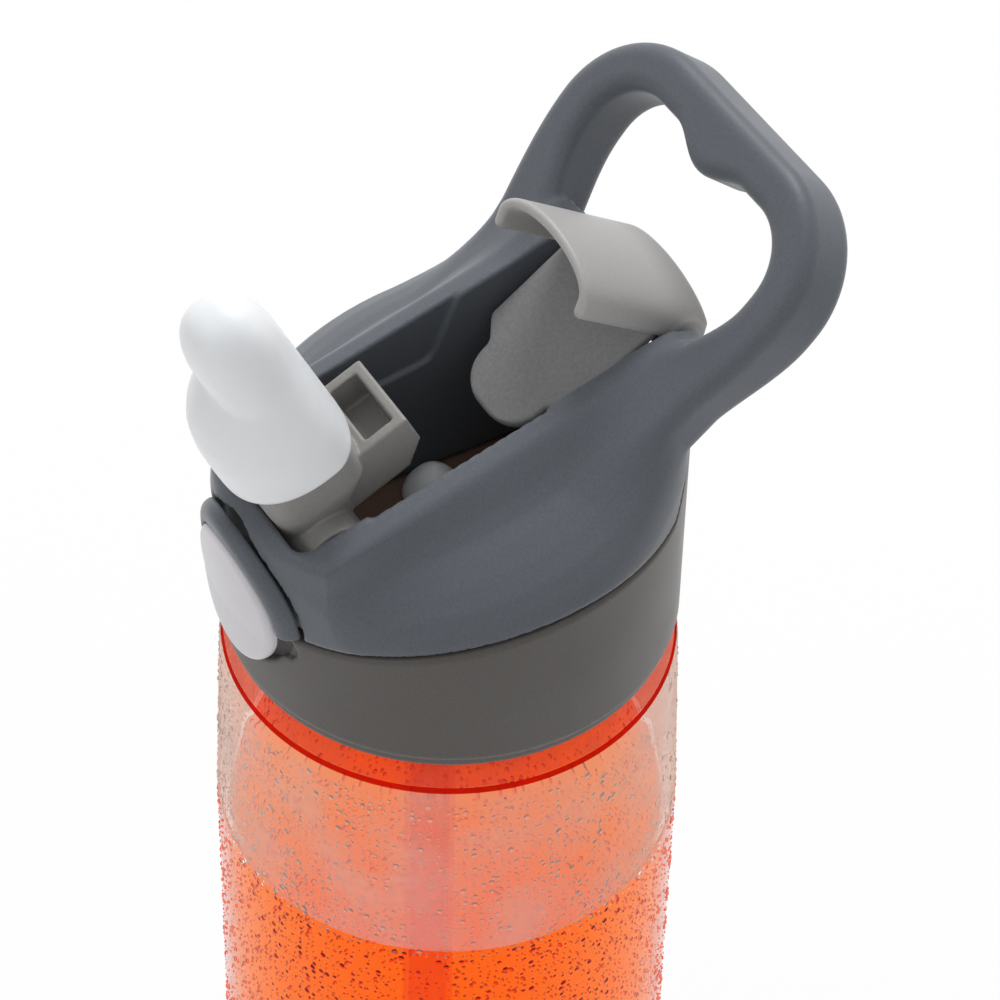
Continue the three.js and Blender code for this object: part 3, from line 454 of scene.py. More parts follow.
def moulded_skin(name: str, node: bpy.types.Object, voxel_mm: float, rounds: int) -> bpy.types.Object:
    """Skin of a solid with the small radii that a mould leaves on every edge.

    The solid is merged, sampled on small cubes and relaxed.

    Args:
        name: The piece's name.
        node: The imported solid.
        voxel_mm: Size of the cubes.
        rounds: Rounds of relaxing, more for rounder edges.

    Returns:
        The new object.
    """
    rough = add_object(name + "_rough", node.data.copy())
    shape = bmesh.new()
    shape.from_mesh(rough.data)
    bmesh.ops.remove_doubles(shape, verts=shape.verts, dist=1e-6)
    shape.to_mesh(rough.data)
    shape.free()
    cubes = rough.modifiers.new("cubes", "REMESH")
    cubes.mode = "VOXEL"
    cubes.voxel_size = voxel_mm * MM
    mesh = bpy.data.meshes.new_from_object(rough.evaluated_get(bpy.context.evaluated_depsgraph_get()))
    mesh.name = name
    bpy.data.objects.remove(rough)
    points = np.empty(len(mesh.vertices) * 3)
    edges = np.empty(len(mesh.edges) * 2, dtype=np.int32)
    mesh.vertices.foreach_get("co", points)
    mesh.edges.foreach_get("vertices", edges)
    mesh.vertices.foreach_set("co", relax(points.reshape(-1, 3), edges.reshape(-1, 2), rounds).ravel())
    mesh.polygons.foreach_set("use_smooth", np.ones(len(mesh.polygons), dtype=bool))
    mesh.update()
    mesh.materials.clear()
    return add_object(name, mesh)


# Outlines that several pieces share, in the lid's frame


def seam(angle: np.ndarray) -> np.ndarray:
    """Height of the line between collar and housing, by degrees from the front."""
    return 17.5 + 11.2 * smoothstep(-8, 112, angle) + 7.3 * smoothstep(128, 142, angle)


def rim(y: np.ndarray) -> np.ndarray:
    """Height of the housing's rim: it climbs towards the back and falls away behind the shield."""
    return 45.7 + 0.265 * y - 5 * smoothstep(27, 39, y)


def front_skin(height: np.ndarray) -> np.ndarray:
    """Distance of the front skin from the axis: upright on the collar, leaning out above the seam."""
    return 34.8 + 1.9 * np.maximum(0, height - 17.5) / (rim(-32.5) - 17.5)


def ellipse(x: np.ndarray, z: np.ndarray, half_width: float, half_height: float) -> np.ndarray:
    """About the distance from an ellipse round the button's middle, negative inside."""
    return oval(x, z - BUTTON_HEIGHT, half_width, half_height)


# Finishes


def add_node(tree: bpy.types.NodeTree, kind: str, inputs: dict | None = None, **settings) -> bpy.types.Node:
    """Add a shader node with its settings and its links.

    Args:
        tree: The material's tree.
        kind: The node's type name.
        inputs: Sockets by name or number, each a value or another node's output.
        settings: Properties of the node itself.

    Returns:
        The new node.
    """
    made = tree.nodes.new(kind)
    for key, value in settings.items():
        setattr(made, key, value)
    for socket, value in (inputs or {}).items():
        if isinstance(value, bpy.types.NodeSocket):
            tree.links.new(value, made.inputs[socket])
        else:
            made.inputs[socket].default_value = value
    return made


@dataclass(frozen=True)
class Finish:
    """A named material and the slot of the record that it stands for."""

    name: str
    slot: str

    def material(self) -> bpy.types.Material:
        """The material, made the first time it is asked for."""
        found = bpy.data.materials.get(self.name)
        if found is None:
            found = bpy.data.materials.new(self.name)
            found.use_nodes = True
            found.node_tree.nodes.clear()
            self.paint(found.node_tree)
        return found

    def paint(self, tree: bpy.types.NodeTree) -> None:
        """Fill the material's node tree."""
        raise NotImplementedError


@dataclass(frozen=True)
class MouldedPlastic(Finish):
    """Injection-moulded plastic from a spark-eroded mould.

    The eye sees a soft sheen, a fine speckle where the grain catches light, and faint clouds of tone.
    The speckle is painted light and shade: darker in the grain's pits and lighter on its high points.
    """

    colour: str = "#5d6269"
    # darker tone painted into the grain's pits as shade
    shade: str = "#545960"
    roughness: tuple[float, float] = (0.4, 0.5)
    grain_mm: float = 0.4
    grain_depth_mm: float = 0.02
    cloud_mm: float = 16.0
    mirror: float = 0.3
    sheen: float = 0.22
    index: float = 1.49

    def paint(self, tree: bpy.types.NodeTree) -> None:
        """Speckle mixes two tones, painted shade in the grain's pits; clouds vary gloss; the grain lifts the
        surface.
        """
        place = add_node(tree, "ShaderNodeTexCoord").outputs["Object"]
        grain = add_node(tree, "ShaderNodeTexNoise", {
            "Vector": place, "Scale": per_metre(self.grain_mm), "Detail": 3.0, "Roughness": 0.6})
        clouds = add_node(tree, "ShaderNodeTexNoise", {
            "Vector": place, "Scale": per_metre(self.cloud_mm), "Detail": 2.0})
        speckle = add_node(tree, "ShaderNodeMapRange", {
            "Value": grain.outputs["Fac"], "From Min": 0.3, "From Max": 0.7})
        drift = add_node(tree, "ShaderNodeMapRange", {
            "Value": clouds.outputs["Fac"], "From Min": 0.3, "From Max": 0.7,
            "To Min": self.roughness[0], "To Max": self.roughness[1]})
        # painted shade and light: the grain's low points take the shade colour and its high points the
        # lighter colour
        tone = add_node(tree, "ShaderNodeMix", {
            "Factor": speckle.outputs["Result"], "A": linear(self.shade), "B": linear(self.colour)},
            data_type="RGBA")
        grit = add_node(tree, "ShaderNodeBump", {
            "Height": grain.outputs["Fac"], "Strength": 0.5, "Distance": self.grain_depth_mm * MM})
        skin = add_node(tree, "ShaderNodeBsdfPrincipled", {
            "Base Color": tone.outputs["Result"], "Roughness": drift.outputs["Result"],
            "Normal": grit.outputs["Normal"], "IOR": self.index, "Specular IOR Level": self.mirror,
            "Sheen Weight": self.sheen, "Sheen Roughness": 0.45})
        add_node(tree, "ShaderNodeOutputMaterial", {"Surface": skin.outputs["BSDF"]})


@dataclass(frozen=True)
class ClearPlastic(Finish):
    """Clear copolyester, blown and glossy: it is seen by its edges and by what it bends."""

    tint: str = "#ffffff"
    roughness: float = 0.0
    index: float = 1.2
    mirror: str = "#505050"
    ripple_mm: float = 9.0
    ripple_depth_mm: float = 0.02

    def paint(self, tree: bpy.types.NodeTree) -> None:
        """Long, very shallow ripples of the blown wall bend the light a little."""
        place = add_node(tree, "ShaderNodeTexCoord").outputs["Object"]
        ripple = add_node(tree, "ShaderNodeTexNoise", {
            "Vector": place, "Scale": per_metre(self.ripple_mm), "Detail": 1.0})
        bend = add_node(tree, "ShaderNodeBump", {
            "Height": ripple.outputs["Fac"], "Strength": 0.4, "Distance": self.ripple_depth_mm * MM})
        skin = add_node(tree, "ShaderNodeBsdfPrincipled", {
            "Base Color": linear(self.tint), "Roughness": self.roughness, "IOR": self.index,
            "Transmission Weight": 1.0, "Specular Tint": linear(self.mirror),
            "Normal": bend.outputs["Normal"]})
        add_node(tree, "ShaderNodeOutputMaterial", {"Surface": skin.outputs["BSDF"]})


@dataclass(frozen=True)
class FruitDrink(Finish):
    """A clear orange drink: the deeper the light goes, the redder it comes out."""

    tint: str = "#ffa88e"
    colour: tuple[float, float, float] = (0.999, 0.82, 0.03)
    density: float = 60.0
    haze_mm: float = 20.0
    mirror: str = "#404040"
    index: float = 1.01

    def paint(self, tree: bpy.types.NodeTree) -> None:
        """Almost no bending at the surface, so that no light is trapped, and absorption inside."""
        place = add_node(tree, "ShaderNodeTexCoord").outputs["Object"]
        swirl = add_node(tree, "ShaderNodeTexNoise", {
            "Vector": place, "Scale": per_metre(self.haze_mm), "Detail": 1.0})
        wave = add_node(tree, "ShaderNodeBump", {
            "Height": swirl.outputs["Fac"], "Strength": 0.2, "Distance": 0.05 * MM})
        skin = add_node(tree, "ShaderNodeBsdfPrincipled", {
            "Base Color": linear(self.tint), "Roughness": 0.0, "IOR": self.index, "Transmission Weight": 1.0,
            "Specular Tint": linear(self.mirror), "Normal": wave.outputs["Normal"]})
        depth = add_node(tree, "ShaderNodeVolumeAbsorption", {
            "Color": (*self.colour, 1.0), "Density": self.density})
        add_node(tree, "ShaderNodeOutputMaterial", {
            "Surface": skin.outputs["BSDF"], "Volume": depth.outputs["Volume"]})


@dataclass(frozen=True)
class Veil(Finish):
    """A thin film that lets most light straight through, such as condensation or a frosted tube."""

    # colours of the spread and straight light: white scatter on the mist; on the straw and shoulder films a
    # painted glow or reflection of the drink
    scatter_and_painted_glow: str = "#ffffff"
    through: str = "#ffffff"
    patch_mm: float = 11.0
    share: tuple[float, float] = (0.14, 0.3)

    def paint(self, tree: bpy.types.NodeTree) -> None:
        """Most light goes straight on, and a thin scatter in the film's colour, thicker in patches, spreads
        the rest.
        """
        place = add_node(tree, "ShaderNodeTexCoord").outputs["Object"]
        patches = add_node(tree, "ShaderNodeTexNoise", {
            "Vector": place, "Scale": per_metre(self.patch_mm), "Detail": 4.0})
        share = add_node(tree, "ShaderNodeMapRange", {
            "Value": patches.outputs["Fac"], "From Min": 0.3, "From Max": 0.7,
            "To Min": self.share[0], "To Max": self.share[1]})
        straight = add_node(tree, "ShaderNodeBsdfTransparent", {"Color": linear(self.through)})
        near = add_node(tree, "ShaderNodeBsdfDiffuse", {"Color": linear(self.scatter_and_painted_glow)})
        far = add_node(tree, "ShaderNodeBsdfTranslucent", {"Color": linear(self.scatter_and_painted_glow)})
        spread = add_node(tree, "ShaderNodeMixShader", {
            0: 0.4, 1: near.outputs["BSDF"], 2: far.outputs["BSDF"]})
        both = add_node(tree, "ShaderNodeMixShader", {
            0: share.outputs["Result"], 1: straight.outputs["BSDF"], 2: spread.outputs["Shader"]})
        add_node(tree, "ShaderNodeOutputMaterial", {"Surface": both.outputs["Shader"]})


@dataclass(frozen=True)
class MilkySilicone(Finish):
    """Moulded silicone rubber: white, satin and lit from within at its thin edges."""

    colour: str = "#f2f4f6"
    shade: str = "#e9ecef"
    roughness: float = 0.38
    depth_mm: float = 2.0
    cloud_mm: float = 7.0
    index: float = 1.41

    def paint(self, tree: bpy.types.NodeTree) -> None:
        """Faint clouds of tone over light that spreads under the skin."""
        place = add_node(tree, "ShaderNodeTexCoord").outputs["Object"]
        clouds = add_node(tree, "ShaderNodeTexNoise", {
            "Vector": place, "Scale": per_metre(self.cloud_mm), "Detail": 2.0})
        tone = add_node(tree, "ShaderNodeMix", {
            "Factor": clouds.outputs["Fac"], "A": linear(self.shade), "B": linear(self.colour)},
            data_type="RGBA")
        bloom = add_node(tree, "ShaderNodeBump", {
            "Height": clouds.outputs["Fac"], "Strength": 0.15, "Distance": 0.05 * MM})
        skin = add_node(tree, "ShaderNodeBsdfPrincipled", {
            "Base Color": tone.outputs["Result"], "Roughness": self.roughness, "IOR": self.index,
            "Subsurface Weight": 0.6, "Subsurface Radius": (1.0, 0.95, 0.9),
            "Subsurface Scale": self.depth_mm * MM, "Normal": bloom.outputs["Normal"]})
        add_node(tree, "ShaderNodeOutputMaterial", {"Surface": skin.outputs["BSDF"]})


@dataclass(frozen=True)
class DrawnSteel(Finish):
    """Drawn spring steel: bright metal with fine lines along the wire."""

    colour: str = "#b9bcc0"
    line_mm: float = 0.12

    def paint(self, tree: bpy.types.NodeTree) -> None:
        """Fine streaks vary the gloss."""
        place = add_node(tree, "ShaderNodeTexCoord").outputs["Object"]
        lines = add_node(tree, "ShaderNodeTexNoise", {
            "Vector": place, "Scale": per_metre(self.line_mm), "Detail": 2.0})
        gloss = add_node(tree, "ShaderNodeMapRange", {
            "Value": lines.outputs["Fac"], "To Min": 0.2, "To Max": 0.42})
        skin = add_node(tree, "ShaderNodeBsdfPrincipled", {
            "Base Color": linear(self.colour), "Metallic": 1.0, "Roughness": gloss.outputs["Result"]})
        add_node(tree, "ShaderNodeOutputMaterial", {"Surface": skin.outputs["BSDF"]})


HOUSING_PLASTIC = MouldedPlastic("slate_polypropylene_spark_eroded", "slate_polypropylene")
COLLAR_PLASTIC = MouldedPlastic("warm_grey_polypropylene_spark_eroded", "warm_grey_polypropylene",
                                colour="#55514e", shade="#4d4946")
# painted light: the deck's brown-orange tint stands for the drink's glow, and it is written lighter to offset
# the shade in the slot
DECK_PLASTIC_PAINTED_GLOW = MouldedPlastic("warm_grey_polypropylene_painted_drink_glow", "warm_grey_polypropylene", colour="#7d6457",
                              shade="#725a4e", roughness=(0.36, 0.46), grain_depth_mm=0.008)
ARM_PLASTIC = MouldedPlastic("grey_polypropylene_satin", "arm_grey_plastic", colour="#92908d",
                             shade="#898784", roughness=(0.36, 0.46), grain_depth_mm=0.008)
SHIELD_PLASTIC = MouldedPlastic("pale_grey_polypropylene_satin", "shield_grey_plastic", colour="#b0aeac",
                                shade="#a8a6a4", roughness=(0.34, 0.44), grain_depth_mm=0.008)
TONGUE_PLASTIC = MouldedPlastic("mid_grey_polypropylene_fine_grain", "shield_grey_plastic", colour="#8b8b8c",
                                shade="#7d7d7e", grain_mm=0.55, grain_depth_mm=0.05)
PAD_PLASTIC = MouldedPlastic("pale_lilac_abs_satin", "pale_lilac_plastic", colour="#d2cfd4", shade="#cccace",
                             roughness=(0.3, 0.38), grain_depth_mm=0.004)
SILICONE = MilkySilicone("milky_silicone_moulded", "white_silicone")
BODY_PLASTIC = ClearPlastic("clear_copolyester_blown", "clear_copolyester")
# painted light: the clear straw's peach tint stands for the drink's orange glow
STRAW_PLASTIC = Veil("frosted_polyethylene_extruded", "clear_straw", scatter_and_painted_glow="#ffb48c", through="#fff4ea",
                     patch_mm=3.0, share=(0.08, 0.16))
WATER = ClearPlastic("water_drops", "clear_copolyester", index=1.33, mirror="#ffffff", ripple_depth_mm=0.0)
# clear water drops with a painted red tint for the drink seen through them
DROPS_PAINTED_DRINK_TINT = ClearPlastic("water_drops_before_the_drink", "clear_copolyester", tint="#ff8468", index=1.33,
                         mirror="#606060", ripple_depth_mm=0.0)
DRINK = FruitDrink("orange_drink", "clear_copolyester")
MIST = Veil("white_condensation", "clear_copolyester", scatter_and_painted_glow="#fff8f6", through="#fff6f1", share=(0.12, 0.28))
# real condensation whose pink tint is a painted glow of the drink behind it
SHOULDER_MIST_PAINTED_GLOW = Veil("condensation_with_painted_drink_glow", "clear_copolyester", scatter_and_painted_glow="#ff8a7a", through="#ffcabe",
             patch_mm=6.0, share=(0.15, 0.35))
# painted reflection: a red film on the shoulder stands for the drink mirrored in it
PAINTED_DRINK_REFLECTION = Veil("painted_drink_reflection_in_shoulder", "clear_copolyester", scatter_and_painted_glow="#e23420", through="#ff6a50",
                patch_mm=6.0, share=(0.35, 0.65))
STEEL = DrawnSteel("spring_steel_drawn", "spring_steel")


class Workshop:
    """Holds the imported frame, and dresses pieces and puts them on their bodies."""

    def __init__(self, frame: dict) -> None:
        """Keep the frame.
        """
        self.nodes: dict[str, bpy.types.Object] = frame["nodes"]

    def dress(self, piece: bpy.types.Object, finish: Finish) -> None:
        """Give a piece its finish."""
        piece.data.materials.clear()
        piece.data.materials.append(finish.material())

    def stand_in(self, piece: bpy.types.Object, node: str, finish: Finish) -> None:
        """Dress a piece and let it show in place of a solid, on the solid's own body.

        Args:
            piece: The new piece.
            node: The solid that it stands for.
            finish: Its finish.
        """
        self.dress(piece, finish)
        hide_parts(node)
        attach(piece, body_of(self.nodes[node])[0])
        LOG.info("%s stands for %s", piece.name, node)

    def add(self, piece: bpy.types.Object, body: Body, finish: Finish) -> None:
        """Dress a piece that has no solid and put it on a body.

        Args:
            piece: The new piece.
            body: The body that it rides on.
            finish: Its finish.
        """
        self.dress(piece, finish)
        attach(piece, body.value)
        LOG.info("%s rides on %s", piece.name, body.value)


@dataclass
class Vessel:
    """The clear bottle with its thread, its drink, and the mist and drops on its wall."""

    radius: float = 36.2
    inner: float = 34.3
    taper: float = 1.2
    taper_from: float = 145.6
    height: float = 185.6
    floor: float = 3.6
    base_corner: float = 6.0
    shoulder: float = 7.0
    wall: float = 2.2
    neck: float = 29.2
    neck_inner: float = 27.0
    neck_top: float = 196.1
    drink_level: float = 144.0
    thread_pitch: float = 4.0
    thread_start: float = 187.6
    columns: int = 192

    def build(self, shop: Workshop) -> None:
        """Make and dress every piece of the bottle.

        Args:
            shop: Where pieces are dressed.
        """
        shop.stand_in(self.bottle(), "bottle_body", BODY_PLASTIC)
        shop.add(self.drink(), Body.BOTTLE, DRINK)
        shop.add(self.mist(), Body.BOTTLE, MIST)
        # shoulder films: condensation with a painted drink glow, and a painted reflection of the drink
        shop.add(self.film("misted_shoulder_painted_glow", self.bend(25, 78)), Body.BOTTLE, SHOULDER_MIST_PAINTED_GLOW)
        shop.add(self.film("painted_drink_reflection_band", self.bend(16.5, 24.5)), Body.BOTTLE, PAINTED_DRINK_REFLECTION)
        shop.add(self.thread(), Body.BOTTLE, BODY_PLASTIC)
        # drops in front of the drink wear the painted red tint; those above it are clear
        bands = (("low", 7, 52, 0.55, 3, DROPS_PAINTED_DRINK_TINT), ("middle", 52, 98, 0.55, 5, DROPS_PAINTED_DRINK_TINT),
                 ("high", 98, 144, 0.6, 8, DROPS_PAINTED_DRINK_TINT), ("top", 144, 178, 0.8, 13, WATER))
        for name, low, high, share, seed, finish in bands:
            shop.add(self.drops(f"drops_{name}", low, high, share, seed), Body.BOTTLE, finish)

    def waist(self, height: np.ndarray) -> np.ndarray:
        """How much narrower the bottle is at a height: it tapers to the shoulder."""
        stretch = self.height - self.shoulder - self.taper_from
        return self.taper * np.clip((height - self.taper_from) / stretch, 0, 1)

    def bottle(self) -> bpy.types.Object:
        """The wall's profile, up the outside and over the neck to the inside, turned about Z."""
        r, c, s = self.radius, self.base_corner, self.shoulder
        inner_shoulder = self.height - self.wall
        up = np.linspace(c + 2, self.height - s - 2, 40)
        down = np.linspace(inner_shoulder - s - 2, self.floor + c + 2, 40)
        outside = [
            [[0, 1.2]], [[12, 0.9]], [[22, 0.0]],
            arc((r - c, c), c, -90, 0, 12),
            np.stack([r - self.waist(up), up], axis=-1),
            arc((r - self.taper - s, self.height - s), s, 0, 80, 12),
            arc((self.neck + 0.8, self.height + 0.8), 0.8, -100, -180, 5),
            [[self.neck, self.neck_top - 0.6]], [[self.neck - 0.6, self.neck_top]],
        ]
        inside = [
            [[self.neck_inner + 0.6, self.neck_top]], [[self.neck_inner, self.neck_top - 0.6]],
            [[self.neck_inner, inner_shoulder]],
            arc((self.inner - self.taper - s, inner_shoulder - s), s, 80, 0, 12),
            np.stack([self.inner - self.waist(down), down], axis=-1),
            arc((self.inner - c, self.floor + c), c, 0, -90, 12),
            [[12, self.floor + 0.2]], [[0, self.floor + 0.4]],
        ]
        profile = np.concatenate([np.asarray(p, dtype=float) for p in outside + inside])
        return lathe("clear_bottle", profile, self.columns, Placement())

    def drink(self) -> bpy.types.Object:
        """The drink fills the inside, climbs a little at the wall and reaches a hair into it."""
        sunk, c = 0.1, self.base_corner
        r = self.inner + sunk
        across = np.linspace(1, 0, 24)
        climb = 0.9 * np.exp(-(1 - across) * r / 1.2)
        surface = np.stack([r * across, self.drink_level + climb], axis=-1)
        profile = np.concatenate([
            [[0, self.floor + 0.4 - sunk], [12, self.floor + 0.2 - sunk]],
            arc((r - c, self.floor + c - sunk), c, -90, 0, 12),
            np.stack([np.full(30, r), np.linspace(self.floor + c + 2, self.drink_level - 1, 30)], axis=-1),
            surface,
        ])
        return lathe("orange_drink", profile, self.columns, Placement())

    def mist(self) -> bpy.types.Object:
        """A thin film on the wall above the drink."""
        up = np.linspace(self.drink_level + 1.4, self.height - self.shoulder, 24)
        wall = np.stack([self.radius - self.waist(up), up], axis=-1)
        return self.film("misted_wall", np.concatenate([wall, self.bend(2, 16)]))

    def bend(self, start: float, end: float) -> np.ndarray:
        """The outer shoulder between two angles."""
        centre = (self.radius - self.taper - self.shoulder, self.height - self.shoulder)
        return arc(centre, self.shoulder, start, end, 12)

    def film(self, name: str, wall: np.ndarray) -> bpy.types.Object:
        """A film 0.03 mm thick that follows a stretch of the outer wall.

        Args:
            name: The piece's name.
            wall: Radius and height along the wall.

        Returns:
            The film, turned about Z.
        """
        profile = np.concatenate([wall + [0.05, 0.01], wall[::-1] + [0.02, 0]])
        return lathe(name, profile, self.columns, Placement(), closed=True)

    def thread(self) -> bpy.types.Object:
        """A right-handed screw thread on the neck: a small trapezium carried along a helix."""
        angle = np.linspace(0, 3.6 * np.pi, 220)
        fade = smoothstep(0, 0.5, angle) * smoothstep(0, 0.5, angle[-1] - angle)
        path = np.stack([
            (self.neck - 0.25 * (1 - fade)) * np.cos(angle), (self.neck - 0.25 * (1 - fade)) * np.sin(angle),
            self.thread_start + self.thread_pitch * angle / (2 * np.pi)], axis=-1)
        section = np.array([[-0.2, -0.7], [0.2, -0.7], [0.62, -0.3], [0.62, 0.3], [0.2, 0.7], [-0.2, 0.7]])
        return sweep("neck_thread", path, section * [-1, 1], (0, 0, 1))

    def drops(self, name: str, low: float, high: float, share: float, seed: int) -> bpy.types.Object:
        """Drops of water on the outside of the wall between two heights.

        Each lies at a shifted point of a square lattice and is a low dome of three rings and a tip on a flat
        back.

        Args:
            name: The piece's name.
            low: Lowest height.
            high: Highest height.
            share: Share of the lattice that has a drop.
            seed: Seed of the random numbers.

        Returns:
            One object with all the drops.
        """
        dice = np.random.default_rng(seed)
        spacing = 1.35
        turns = int(2 * np.pi * self.radius / spacing)
        angle, height = np.meshgrid(
            np.arange(turns) * 2 * np.pi / turns, np.arange(low, high, spacing), indexing="ij")
        away = smoothstep(0.1, 0.9, np.cos(angle - math.radians(60))) * smoothstep(146, 160, height)
        keep = dice.random(angle.shape) < share - 0.6 * share * away
        angle, height = angle[keep], height[keep]
        shift = dice.uniform(-0.28, 0.28, (2, len(angle))) * spacing
        angle = angle + shift[0] / self.radius
        height = np.clip(height + shift[1], low, high)
        size = np.clip(0.13 + dice.gamma(1.3, 0.085, len(angle)), 0.13, 0.5)
        tall = np.minimum(0.62 * size, 0.28)
        stretch = dice.uniform(0.92, 1.18, len(angle))
        columns = 8
        around = full_turn(columns)
        ring_reach = np.array([1.0, 0.86, 0.5])[:, None]
        ring_lift = np.array([0.0, 0.55, 0.92])
        flat = np.stack([ring_reach * np.cos(around), ring_reach * np.sin(around)], axis=-1)
        across = np.concatenate([flat.reshape(-1, 2), [[0.0, 0.0]]])
        lift = np.concatenate([np.repeat(ring_lift, columns), [1.0]])
        turn = angle[:, None] + across[None, :, 0] * size[:, None] / self.radius
        out = (self.radius - self.waist(height) - 0.06)[:, None] + lift[None] * (tall + 0.06)[:, None]
        up = height[:, None] + across[None, :, 1] * (size * stretch)[:, None]
        points = np.stack([out * np.cos(turn), out * np.sin(turn), up], axis=-1)
        rings = grid_faces(3, columns)
        tip = 3 * columns
        last = 2 * columns + np.arange(columns)
        fan = np.stack([last, np.roll(last, -1), np.full(columns, tip)], axis=-1)
        starts = np.arange(len(angle)) * (tip + 1)
        faces = (rings[None] + starts[:, None, None]).reshape(-1, 4).tolist()
        faces += (fan[None] + starts[:, None, None]).reshape(-1, 3).tolist()
        faces += (np.arange(columns)[::-1][None] + starts[:, None]).tolist()
        return mesh_piece(name, points, faces, 75, tidy=False)


@dataclass
class Housing:
    """The moulded housing: slot, rim and carry loop, drawn as one field so that they flow together."""

    radius: float = 34.8
    slot_half: float = 12.8
    slot_top: tuple[float, float] = (32.5, 35.2)
    slot_floor: tuple[float, float] = (29.6, 29.8)
    slot_corner: float = 2.5
    band: float = 4.6
    loop_root: tuple[float, float] = (26.9, 47.4)
    loop_lean: float = 48.4
    loop_half: tuple[float, float] = (22.5, 25.7)
    loop_rise: float = 31.2
    loop_corner: float = 12.6
    loop_section: tuple[float, float] = (3.75, 5.7)
    bore_reach: float = 14.6

    def __post_init__(self) -> None:
        """Work out the rim's outlines and the curves of its section once.

        The section's curves give the drop below the rim, from -0.25 at the slot over 0 at the ridge to 1
        outside.
        """
        self.turns = np.linspace(0, 180, 721)
        self.slot_reach = self.reach(0)
        self.ridge_reach = np.minimum(self.reach(self.band), self.radius + self.bulge(self.turns) - 0.6)
        band = [(-0.25, 0.1), (-0.21, 0.2), (-0.04, 0.9)]
        self.side = eased(band + [(0, 1.5), (0.08, 3.2), (0.17, 5.4), (0.28, 7.1), (0.44, 8.2), (0.62, 9.8),
                                  (0.8, 12), (0.93, 14.8), (1, 17), (1.1, 20)], 0.07)
        self.root = eased(band + [(0, 1.4), (0.18, 2.1), (0.36, 3), (0.54, 4.2), (0.7, 5.6), (0.83, 7.4),
                                  (0.92, 9.6), (0.98, 12.6), (1, 15), (1.1, 20)], 0.09)
        self.end = eased(band + [(0, 1.3), (1, 2.4)], 0.05)

    def build(self, shop: Workshop) -> None:
        """Make and dress the housing.

        Args:
            shop: Where pieces are dressed.
        """
        skin = field_surface("housing_and_loop", self.field, (-36, -40, 13), (36, 58, 79.5), 0.55, LID)
        shop.stand_in(skin, "lid_housing", HOUSING_PLASTIC)

    def reach(self, grow: float) -> np.ndarray:
        """How far the slot's outline at the rim, grown outwards, lies from the axis at each turn."""
        angle = np.radians(self.turns)[:, None]
        out = np.linspace(5, 50, 1801)[None]
        inside = self.slot(out * np.sin(angle), -out * np.cos(angle), np.array(45.0)) < grow
        return out[0, inside.sum(axis=1) - 1]

    def bulge(self, angle: np.ndarray) -> np.ndarray:
        """How far the front and the rear swell past the collar, by degrees from the front."""
        return 1.9 * bell(angle, 0, 45) + 4.6 * bell(angle, 180, 40)

    def slot(self, x: np.ndarray, y: np.ndarray, z: np.ndarray) -> np.ndarray:
        """Distance from the slot's rounded outline, whose ends lean outwards to the rim."""
        share = np.clip((z - 14.8) / 25, 0, 1)
        front = blend(self.slot_floor[0], self.slot_top[0], share)
        rear = blend(self.slot_floor[1], self.slot_top[1], share)
        return rounded_box(x, y - (rear - front) / 2, self.slot_half, (rear + front) / 2, self.slot_corner)

    def shell(self, x: np.ndarray, y: np.ndarray, z: np.ndarray) -> np.ndarray:
        """The housing without its cuts: skirt, hips, valley, ridge and rim band."""
        radius, angle = np.hypot(x, y), np.degrees(np.arctan2(np.abs(x), -y))
        bulge = self.bulge(angle)
        slot, ridge = (np.interp(angle, self.turns, reach) for reach in (self.slot_reach, self.ridge_reach))
        across = np.where(radius < ridge, 0.25 * (radius - ridge) / (ridge - slot),
                          (radius - ridge) / (self.radius + bulge - ridge))
        across = np.clip(across, -0.25, 1.1)
        ends = np.maximum(bell(angle, 0, 45), bell(angle, 180, 40))
        flank = blend(self.side(across), self.root(across), smoothstep(102, 140, angle))
        drop = blend(flank, self.end(across), ends)
        below = rim(y) - z
        outside = radius - self.radius - bulge * np.clip(1.06 - below / 18.5, 0, 1)
        under = np.minimum(seam(angle) + 0.3 - z, np.maximum(14.8 - z, radius - 32.0))
        return soft_max(soft_max(outside, 0.75 * (drop - below), 2.0), under, 0.9)

    def loop(self, x: np.ndarray, y: np.ndarray, z: np.ndarray) -> np.ndarray:
        """The carry loop: a rounded band along an arch, with a finger bump and flaring legs."""
        lean = math.radians(self.loop_lean)
        back, high = y - self.loop_root[0], z - self.loop_root[1]
        u, v = np.abs(x), back * math.cos(lean) + high * math.sin(lean)
        front = high * math.cos(lean) - back * math.sin(lean)
        turn_u, turn_v = self.loop_half[1] - self.loop_corner, self.loop_rise - self.loop_corner
        share = np.clip(v / turn_v, -0.7, 1)
        leg = self.loop_half[0] + np.where(share > 0, 3.2 * (1.5 * share - 0.5 * share**3), 2.3 * share)
        straight = np.maximum(u - leg, v - self.loop_rise)
        bend = np.hypot(u - turn_u, v - turn_v) - self.loop_corner
        out = np.where((u > turn_u) & (v > turn_v), bend, straight)
        root = 1 - smoothstep(0, 16, v)
        inward = 3 * bell(u, 0, 8.9) * (v > self.loop_rise / 2) + 3.5 * root
        thick, wide = self.loop_section[0] + inward / 2, self.loop_section[1] - root
        band = rounded_box(out + inward / 2, front - root, thick, wide, 2.6)
        return np.maximum(band, -14 - v)

